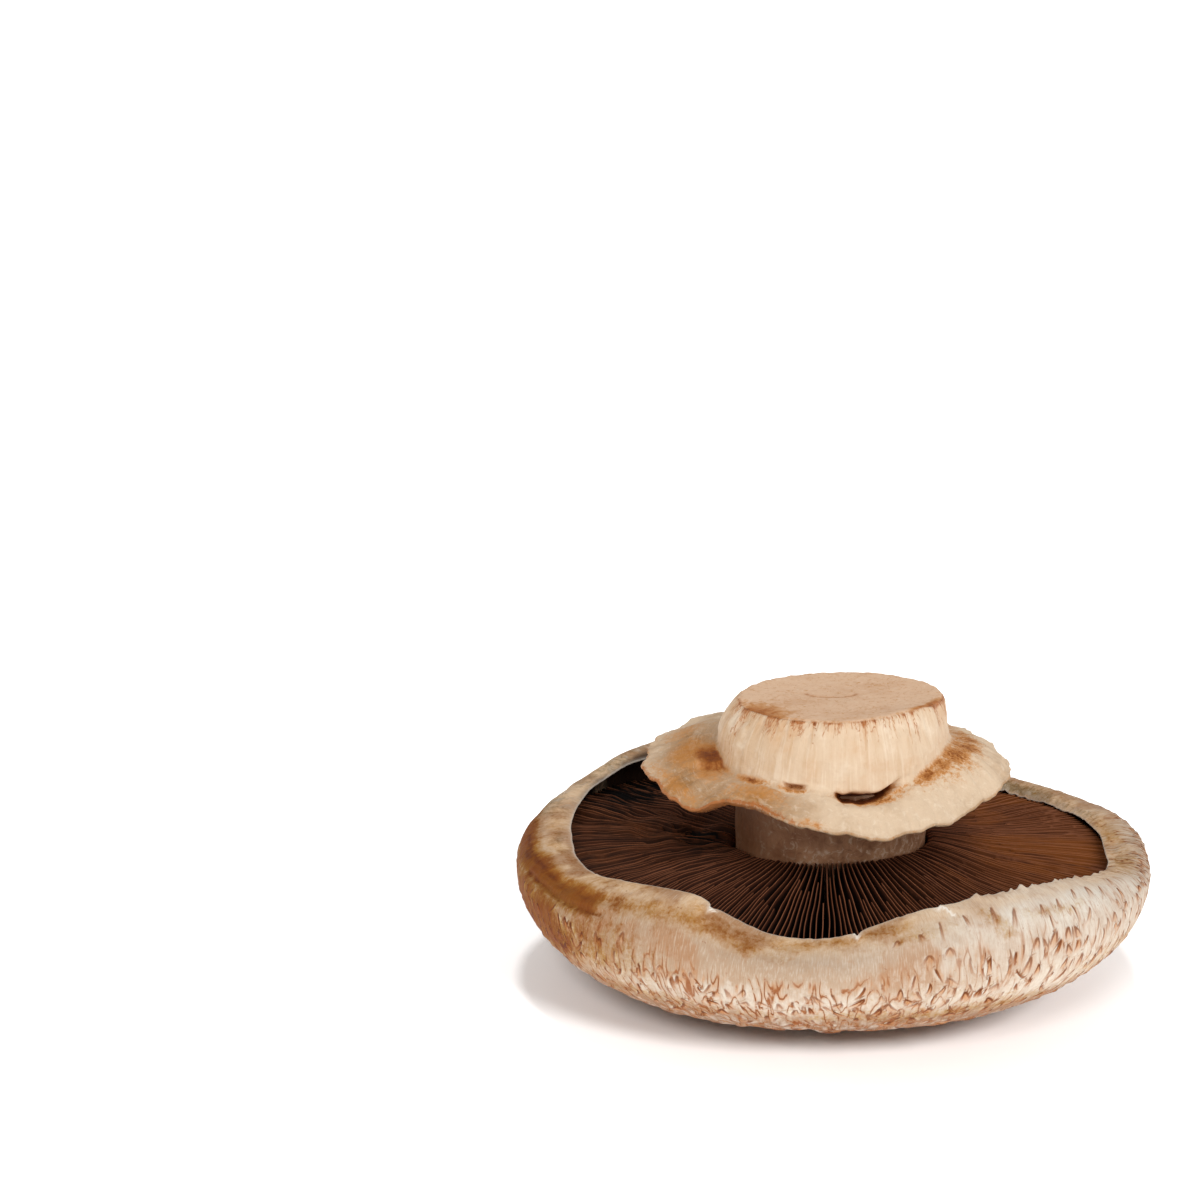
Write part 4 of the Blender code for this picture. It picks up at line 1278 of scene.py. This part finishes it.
@dataclass(frozen=True)
class Stem:
    """The stem: a neck, and a head of torn ring, swelling and cut in one skin.

    neck and swelling are radii by height. The ring runs from its root, inside the neck, to its torn edge, and climb
    raises its top and the waist above it. slim, tuck and bulge take from the swelling's radius and add to it.
    """

    neck: Line = Line(((15.3, 16.2), (20.0, 16.3), (26.0, 16.4), (30.0, 16.7), (33.5, 17.1), (35.6, 17.6),
                       (38.0, 18.0)))
    neck_ends: tuple[float, float] = (15.3, 38.0)
    swelling: Line = Line(((40.0, 20.75), (41.6, 20.8), (44.5, 20.3), (47.5, 19.1), (49.4, 18.2), (50.35, 17.5)))
    side_top: float = 50.35
    lean: tuple[float, float] = (-0.9, 1.1)
    lean_from: float = 28.0
    head_from: float = 37.3
    oval: float = 0.4
    bulge: Mark = Mark(183.0, 47.5, 38.0, 3.5, 1.1)
    cut_height: float = 50.7
    cut_radius: float = 17.4
    cut_slope: float = 0.02
    cut_dish: float = 0.4
    ring_radius: Round = Round(((0, 29.5), (30, 28.6), (60, 27.4), (90, 27.0), (120, 28.0), (150, 30.3), (175, 33.2),
                                (195, 33.2), (212, 31.0), (228, 27.5), (240, 26.5), (255, 27.5), (270, 28.0),
                                (285, 28.5), (300, 28.3), (318, 28.2), (335, 29.2)))
    ring_height: Round = Round(((0, 39.2), (30, 40.2), (60, 40.8), (90, 41.2), (120, 42.0), (150, 41.5),
                                (175, 40.0), (195, 37.9), (212, 35.5), (219, 35.6), (223, 36.8), (229, 37.4),
                                (236, 37.3), (243, 36.9), (255, 36.2), (270, 35.0), (285, 33.8), (300, 34.6),
                                (318, 35.4), (335, 37.0)))
    ring_root: float = 16.8
    ring_top: float = 39.6
    ring_bend: float = 1.4
    ring_reach: float = 32.0
    bend_from: float = 18.6
    bruised_from: float = 20.0
    bruised_width: float = 8.0
    fillet_top: float = 41.9
    side_foot: float = 42.1
    climb: Round = Round(((0, 3.2), (25, 2.0), (50, 1.2), (90, 1.6), (125, 2.6), (155, 2.8), (180, 1.4), (205, 0.1),
                          (225, 0.0), (295, 0.0), (307, 0.8), (320, 2.4), (340, 3.4)))
    waist: Round = Round(((0, 21.3), (30, 21.8), (60, 22.4), (290, 22.4), (315, 21.6), (340, 21.1)))
    slim: Mark = Mark(352.0, 44.5, 44.0, 5.0, 1.25)
    tuck: Mark = Mark(312.0, 50.35, 30.0, 3.0, 1.1)
    columns: int = 640
    bruises: tuple[Mark | Trail, ...] = (
        Mark(202, 0.10, 11, 0.2, 1.8), Mark(197, 0.26, 13, 0.22, 1.45), Mark(190, 0.45, 16, 0.3, 0.75),
        Mark(207, 0.4, 9, 0.2, 0.75), Mark(229, 0.20, 8, 0.12, 1.25), Mark(224, 0.22, 6, 0.1, 0.9),
        Mark(250, 0.18, 7, 0.07, 1.0), Mark(286, 0.23, 16, 0.13, 0.95), Mark(280, 0.26, 12, 0.1, 0.8),
        Mark(299, 0.14, 7, 0.09, 0.6), Mark(316, 0.13, 9, 0.2, 1.0), Mark(326, 0.15, 9, 0.2, 0.95),
        Mark(338, 0.18, 11, 0.24, 1.05), Mark(352, 0.22, 10, 0.26, 1.0), Mark(6, 0.27, 12, 0.26, 0.9),
        Mark(20, 0.3, 12, 0.24, 0.7), Mark(338, 0.22, 28, 0.4, 0.5), Mark(262, 0.95, 6, 0.1, 0.6),
        Mark(45, 0.4, 18, 0.3, 0.6), Mark(85, 0.4, 26, 0.3, 0.5), Mark(130, 0.5, 20, 0.3, 0.4),
        Mark(235, 0.6, 18, 0.35, 0.65), Mark(168, 0.6, 10, 0.3, 0.5), Mark(205, 0.85, 20, 0.15, 0.6))
    arc_centre: tuple[float, float] = (-2.3, 2.9)
    arc_size: tuple[float, float] = (4.3, 2.4)

    def shift(self, height: np.ndarray) -> np.ndarray:
        """How far the middle leans towards +X, growing evenly from the neck to the cut."""
        share = np.clip((height - self.lean_from) / (self.cut_height - self.lean_from), 0.0, 1.0)
        return self.lean[0] + (self.lean[1] - self.lean[0]) * share

    def build_neck(self) -> bpy.types.Object:
        """The neck: radii between the stations, with shallow upright waves.

        Returns:
            The neck.
        """
        angle = (np.arange(240) * 1.5)[None, :]
        height = np.linspace(*self.neck_ends, 60)[:, None]
        radius = self.neck.at(height) + 0.14 * Grain(61).layered(angle, height, 40, 9.0, 3)
        # The neck's left side is darker with painted shade under the ring.
        values = {"along": height, "warm_tone_and_shade": 0.85 * bell(angle, 205.0, 38.0)}
        sheet = Sheet("stem_neck", radius, height + 0 * angle, angle, self.shift(height), values)
        return sheet.build(NeckFinish().material())

    def build_head(self) -> bpy.types.Object:
        """Stacks the ring's underside and edge, its top, the fillet with its slits, the side and the cut.

        Returns:
            The head.
        """
        a = (np.arange(self.columns) * 360.0 / self.columns)[None, :]
        blocks = [self._under(a), self._top(a), self._fillet(a), self._side(a), self._cut(a)]
        keys = ("radius", "height", "along", "part", "tone_and_shade", "stain", "fringe", "wet", "below", "cut", "browned", "arc")
        values = {key: np.vstack([np.broadcast_to(b.get(key, 0.0), b["radius"].shape) for b in blocks])
                  for key in keys}
        radius, height, cut = values.pop("radius"), values.pop("height"), values["cut"]
        shift = self.shift(np.maximum(height, self.head_from)) * (1 - cut) + self.lean[1] * cut
        centre = (self.lean[1] + self.arc_centre[0], self.arc_centre[1])
        return Sheet("stem_head", radius, height, a, shift, values).build(HeadFinish().material(centre, self.arc_size))

    def _edge(self, a: np.ndarray) -> tuple[np.ndarray, np.ndarray]:
        """The ring's torn edge, ragged at three sizes.

        Args:
            a: the columns' angles.

        Returns:
            Its radius and height.
        """
        ragged = (0.30 * Grain(71).around(a, 110, 2) + 0.50 * Grain(72).around(a, 38)
                  + 0.22 * Grain(70).around(a, 213) * (0.4 + 0.6 * Grain(69).around(a, 21)))
        wave = 0.35 * Grain(73).around(a, 60) + 0.14 * Grain(79).around(a, 213)
        return self.ring_radius.at(a) + ragged - 0.15, self.ring_height.at(a) + wave

    def _bent(self, a: np.ndarray, rim: np.ndarray, share: np.ndarray | float) -> np.ndarray:
        """A height that bends from the ring's top to its rim with (share of the way out)^(ring_bend)."""
        top = self.ring_top + self.climb.at(a)
        return top + (rim - top) * share**self.ring_bend

    def _level(self, a: np.ndarray, radius: np.ndarray) -> np.ndarray:
        """The ring's top: it bends to the rim, crowned by half a sine wave, lumpy, with a flap at the left.

        Args:
            a: the columns' angles.
            radius: radii of the points.

        Returns:
            Height in millimetres.
        """
        edge, rim = self._edge(a)
        share = np.clip((radius - self.bend_from) / (edge - self.bend_from), 0.0, 1.0)
        lump = 0.32 * Grain(75).layered(a, radius, 50, 3.5, 3) + 0.08 * Grain(76).layered(a, radius, 213, 0.8, 2)
        flap = 0.9 * ease(206.0 - a - 1.5 * (radius - 22.0), 0.0, 2.0) * (a > 90) * ease(a, 130.0, 175.0)
        return self._bent(a, rim, share) + 0.9 * np.sin(np.pi * share) + lump + flap * (1 - ease(radius, 25.0, 29.0))

    def _slit(self, a: np.ndarray) -> tuple[np.ndarray, np.ndarray, np.ndarray]:
        """The split below the swelling: long and deep right of the front, short and shallow left of it.

        Args:
            a: the columns' angles.

        Returns:
            Its share of the depth, and its middle and half width as shares of the fillet.
        """
        long = ease(a, 267.5, 273.0) * (1 - ease(a, 289.0, 303.0))
        short = 0.34 * ease(a, 243.0, 247.5) * (1 - ease(a, 252.0, 257.0))
        middle = 0.56 - 0.24 * ease(a, 256.0, 266.0) + 0.38 * ease(a, 282.0, 302.0)
        return long + short, middle, 0.14 + 0.17 * bell(a, 279.0, 9.0)

    def _under(self, a: np.ndarray) -> dict[str, np.ndarray]:
        """The underside from the stem out, then round the thin edge.

        Args:
            a: the columns' angles.

        Returns:
            The block's grids by name.
        """
        edge, rim = self._edge(a)
        radii, heights = [], []
        for share, thick in ((0.0, 3.6), (0.25, 3.1), (0.45, 2.6), (0.65, 2.2), (0.85, 1.6), (0.95, 1.0)):
            radii.append(self.ring_root + (edge - self.ring_root) * share)
            lump = 0.3 * Grain(74).layered(a, radii[-1], 70, 3.0, 3) * share
            heights.append(self._bent(a, rim, share) - thick + lump)
        for out, down in ((-0.35, 0.6), (-0.08, 0.42), (0.0, 0.22), (-0.1, 0.04)):
            radii.append(edge + out)
            heights.append(rim - down)
        radius = np.vstack(radii)
        # The underside's darker tone is partly painted shade.
        return {"radius": radius, "height": np.vstack(heights), "along": self.ring_reach - radius,
                "tone_and_shade": 0.4, "stain": 0.25, "fringe": 0.1 + 0.8 * bell(a, 215.0, 40.0)}

    def _top(self, a: np.ndarray) -> dict[str, np.ndarray]:
        """The ring's top from its edge in to the waist, with its bruises and browned fringe.

        Args:
            a: the columns' angles.

        Returns:
            The block's grids by name.
        """
        edge, rim = self._edge(a)
        share = np.linspace(0.965, 0.0, 40)[:, None]
        waist = self.waist.at(a)
        radius = waist + (edge - waist) * share
        level = self._level(a, radius)
        level = rim + (level - rim) * ease(1 - share, 0.0, 0.2) + 0.15 * (1 - ease(1 - share, 0.0, 0.3))
        level = level - 0.8 * self._slit(a)[0] * np.exp(-(share / 0.22) ** 2)
        place = (radius - self.bruised_from) / (edge - self.bruised_from)
        left, front = bell(a, 202.0, 26.0), bell(a, 243.0, 17.0)
        fringe = ease(place, 0.93 - 0.1 * front, 1.0) * (0.05 + 0.75 * left + 0.8 * front)
        lobe = bell(a, 192.0, 34.0) * (1 - 0.75 * ease(place, 0.55, 0.95) * ease(208.0 - a, 0.0, 16.0))
        # The left lobe's darker tone is partly painted shade.
        return {"radius": radius, "height": level, "along": self.ring_reach - radius, "fringe": fringe,
                "tone_and_shade": 0.9 * lobe + 0.7 * front * ease(place, 0.2, 0.7), "stain": blotch(self.bruises, a, place)}

    def _fillet(self, a: np.ndarray) -> dict[str, np.ndarray]:
        """The curve from the ring into the swelling: a quadratic through three points, split open at the slits.

        Args:
            a: the columns' angles.

        Returns:
            The block's grids by name.
        """
        t = np.linspace(0.04, 0.96, 28)[:, None]
        slit, middle, half = self._slit(a)
        waist, end = self.waist.at(a), self.fillet_top + self.climb.at(a)
        start = self._level(a, waist) - 0.8 * slit
        base = self.swelling.at(end) - self.oval * cosine(a) - self.slim.at(a, end)
        pocket = np.exp(-((t - middle) / half) ** 4) * slit
        lip = np.exp(-((t - middle - 1.5 * half) / half) ** 2) * slit
        around = np.exp(-((t - middle) / (2.4 * half)) ** 2) * slit
        radius = (1 - t) ** 2 * waist + (2 * t * (1 - t) + t**2) * base - 3.8 * pocket + 0.25 * lip
        height = (1 - t) ** 2 * start + 2 * t * (1 - t) * (start + 0.15) + t**2 * end - 0.8 * pocket - 0.3 * lip
        place = np.maximum((radius - self.bruised_from) / self.bruised_width, 0.1)
        bruised = blotch(self.bruises, a, place) * (1 - ease(t, 0.35, 0.85))
        stain = np.maximum(bruised, 2.0 * pocket + 0.9 * around) * (1 - ease(t, 0.7, 0.95))
        lump = 0.15 * Grain(78).layered(a, t * 8.0, 90, 2.0, 2)
        # The darker tone at the left is partly painted shade.
        return {"radius": radius + lump, "height": height, "along": 9.6 + 2.5 * t, "below": 12.0,
                "part": ease(t, 0.35, 0.9) * (1 - np.clip(2.4 * pocket, 0.0, 1.0)),
                "tone_and_shade": 0.85 * bell(a, 196.0, 32.0), "stain": stain, "wet": 0.8 * np.clip(pocket * 1.3 - 0.2, 0, 1)}

    def _side(self, a: np.ndarray) -> dict[str, np.ndarray]:
        """The swelling's side, pleated and fibrous, rough under the cut.

        Args:
            a: the columns' angles.

        Returns:
            The block's grids by name.
        """
        base = self.side_foot + self.climb.at(a)
        z = base + (self.side_top - base) * np.linspace(0.0, 1.0, 44)[:, None]
        radius = self.swelling.at(z) - self.oval * cosine(a) * (1 - ease(z, 44.5, 50.3))
        pleat = (0.14 * Grain(81).at(a, z, 40, 12.0) + 0.13 * Grain(82).at(a, z, 100, 6.0)
                 + 0.04 * Grain(83).at(a, z, 213, 2.5)) * ease(z - base, 0.0, 1.1)
        left = 0.5 + 0.5 * bell(a, 225.0, 55.0)
        rough = ease(z, 46.0, 49.6) * (0.5 * Grain(84).layered(a, z, 60, 1.8, 3) * left - 0.1)
        slope = self.cut_slope * 17.0 * cosine(a) + 0.5 * self.tuck.at(a, self.side_top)
        heavy = 1.1 * bell(a, 207.0, 15.0) + 0.4 * bell(a, 300.0, 30.0)
        loose = self.bulge.at(a, np.minimum(z, self.bulge.along))
        trim = self.slim.at(a, z) + self.tuck.at(a, z)
        # The darker tone on the swelling's left is painted shade.
        return {"radius": radius + pleat + rough + loose - trim - 0.1, "height": z + slope * ease(z, 45.0, 50.3),
                "along": z - 30.0, "part": 1.0, "below": (self.side_top - z) / (0.8 + 1.2 * heavy),
                "tone_and_shade": 0.6 * bell(a, 212.0, 34.0)}

    def _cut(self, a: np.ndarray) -> dict[str, np.ndarray]:
        """The cut: a shallow dish with a fine grain, a faint sunken arc and a rim that has browned at the front.

        Args:
            a: the columns' angles.

        Returns:
            The block's grids by name.
        """
        side = self._side(a)["radius"][-1:]
        r = np.concatenate([[17.3, 17.05, 16.7, 16.1], np.linspace(15.4, 0.8, 27)])[:, None]
        radius = r + (side - self.cut_radius) * ease(r, 11.0, 17.3)
        front, right = bell(a, 214.0, 20.0), bell(a, 336.0, 20.0)
        border = 0.14 * Grain(86).layered(a, r, 90, 1.0, 3) * ease(r, 14.0, 16.7)
        dish = self.cut_dish * (1 - (np.minimum(r, 17.0) / 17.0) ** 2)
        grain = 0.035 * Grain(87).layered(a, r, 60, 1.5, 3)
        x, y = r * cosine(a) - self.arc_centre[0], r * np.sin(np.radians(a)) - self.arc_centre[1]
        arc = 0.08 + 0.92 * ease(0.6 - y, 0.0, 1.2)
        bow = np.hypot(x / self.arc_size[0], y / self.arc_size[1]) - 1
        dent = 0.12 * np.exp(-((bow / 0.14) ** 2)) * arc
        level = self.cut_height - dish + self.cut_slope * r * cosine(a) + grain + border - dent
        level = level - 0.3 * ease(r, 16.8, self.cut_radius) - 0.5 * front * ease(r, 12.0, self.cut_radius) ** 2
        level = level + 0.5 * self.tuck.at(a, self.side_top) * ease(r, 8.0, 17.0)
        browned = (np.maximum(front * ease(r, 9.0, 17.0), 1.1 * right * ease(r, 15.0, 16.8))
                   + 0.3 * ease(r, 16.3, 17.3) * bell(a, 275.0, 80.0))
        return {"radius": radius, "height": level, "along": 20.4, "part": 1.0, "below": 0.0,
                "cut": ease(self.cut_radius - r, 0.0, 0.3), "browned": browned, "arc": arc}


@dataclass(frozen=True)
class Studio:
    """Pale floor, soft lights and the camera.

    The camera looks down by the elevation from a distance in millimetres. scale is the picture's pixels for each
    millimetre at the aim, and picture its width in pixels. half is the floor's half width in metres.
    """

    elevation: float = 18.0
    distance: float = 520.0
    scale: float = 5.7
    aim_pixel: tuple[float, float] = (835.0, 866.0)
    picture: float = 1200.0
    aim: tuple[float, float, float] = (0.41, 1.5, 20.0)
    sensor: float = 36.0
    half: float = 12.0

    def build(self, pieces: list[bpy.types.Object]) -> None:
        """Makes the floor, the world, the lights and the camera.

        Args:
            pieces: the mushroom, which has its own key and fill.
        """
        floor = self._floor()
        self._world()
        self._sun("key", (0.50, -0.62, 0.60), 1.36, 50.0, pieces)
        self._sun("fill", (-0.62, -0.50, 0.60), 0.56, 60.0, pieces)
        self._sun("floor_right", (0.50, -0.82, 0.60), 3.0, 14.0, [floor])
        self._sun("floor_left", (-0.12, -0.85, 0.52), 1.6, 14.0, [floor])
        self._sun("floor_top", (0.0, -0.1, 1.0), 1.4, 8.0, [floor])
        self._camera()

    def _floor(self) -> bpy.types.Object:
        """A wide white floor.

        Returns:
            The floor, as stage.
        """
        g = Graph("floor")
        mottle = g.noise(g.place(), 8.0)
        colour = g.blend(mottle * 0.1, (0.93, 0.93, 0.93), (0.9, 0.9, 0.9))
        mesh = bpy.data.meshes.new("floor")
        corners = [(x * self.half, y * self.half, 0) for x, y in ((-1, -1), (1, -1), (1, 1), (-1, 1))]
        mesh.from_pydata(corners, [], [(0, 1, 2, 3)])
        mesh.materials.append(g.finish(colour, 0.9, g.bump(mottle, 0.00001, 0.1), Specular_IOR_Level=0.1))
        floor = bpy.data.objects.new("floor", mesh)
        bpy.context.scene.collection.objects.link(floor)
        return floor

    @staticmethod
    def _world() -> None:
        """Even white light from all round."""
        world = bpy.data.worlds.new("studio")
        world.use_nodes = True
        background = world.node_tree.nodes["Background"]
        background.inputs["Color"].default_value = (1.0, 1.0, 1.0, 1.0)
        background.inputs["Strength"].default_value = 0.5
        bpy.context.scene.world = world
        bpy.context.scene.view_settings.view_transform = "Standard"

    def _sun(self, name: str, way: tuple[float, float, float], strength: float, spread: float,
             only: list[bpy.types.Object]) -> None:
        """A wide soft light.

        Args:
            name: the light's name.
            way: direction from the mushroom to the light.
            strength: its strength on a surface that faces it.
            spread: the angle that it fills, in degrees.
            only: the objects that it lights.
        """
        lamp = bpy.data.lights.new(name, "SUN")
        lamp.energy, lamp.angle = strength, math.radians(spread)
        back = np.array(way) / np.linalg.norm(way)
        side = np.cross((0.0, 0.0, 1.0), back)
        side /= np.linalg.norm(side)
        holder = self._stand(name, lamp, (side, np.cross(back, side), back), back)
        lit = bpy.data.collections.new(name)
        for piece in only:
            lit.objects.link(piece)
        holder.light_linking.receiver_collection = lit

    @staticmethod
    def _stand(name: str, data: bpy.types.ID, axes: tuple[np.ndarray, ...], place: np.ndarray) -> bpy.types.Object:
        """Stands a light or camera at a place, turned to three axes.

        Args:
            name: the object's name.
            data: the light or camera.
            axes: its right, its up and its back.
            place: where it stands, in metres.

        Returns:
            The object.
        """
        holder = bpy.data.objects.new(name, data)
        rows = [(axes[0][i], axes[1][i], axes[2][i], place[i]) for i in range(3)]
        holder.matrix_world = Matrix(rows + [(0.0, 0.0, 0.0, 1.0)])
        bpy.context.scene.collection.objects.link(holder)
        return holder

    def _camera(self) -> None:
        """Stands the camera at its angle and distance, and turns it until the aim falls on its pixel."""
        focal = self.scale * self.distance
        tilt = math.radians(self.elevation)
        aim = np.array(self.aim)
        eye = aim + self.distance * np.array([0.0, -math.cos(tilt), math.sin(tilt)])
        yaw, pitch = 0.0, -tilt
        for _ in range(60):
            ahead = np.array([math.sin(yaw) * math.cos(pitch), math.cos(yaw) * math.cos(pitch), math.sin(pitch)])
            right = np.array([math.cos(yaw), -math.sin(yaw), 0.0])
            up = np.cross(right, ahead)
            way = aim - eye
            x = self.picture / 2 + focal * way.dot(right) / way.dot(ahead)
            y = self.picture / 2 - focal * way.dot(up) / way.dot(ahead)
            yaw += (x - self.aim_pixel[0]) / focal
            pitch -= (y - self.aim_pixel[1]) / focal
        camera = bpy.data.cameras.new("camera")
        camera.sensor_width = self.sensor
        camera.lens = focal / self.picture * self.sensor
        camera.clip_start, camera.clip_end = 0.01, 50.0
        bpy.context.scene.camera = self._stand("camera", camera, (right, up, -ahead), eye * MM)


def main() -> None:
    """Builds each piece in order, seats it on the frame and reports it."""
    logging.basicConfig(level=logging.INFO, format="%(message)s")
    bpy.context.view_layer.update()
    cap, gills, stem = Cap(), Gills(), Stem()
    pieces = []
    for node, make in (("cap", cap.build), ("gills", gills.build), ("stem", stem.build_neck),
                       ("stem", stem.build_head)):
        piece = make()
        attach(piece, "root")
        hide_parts(node)
        pieces.append(piece)
        LOG.info("%s stands for %s: %d faces", piece.name, node, len(piece.data.polygons))
    Studio().build(pieces)


if __name__ == "__main__":
    main()
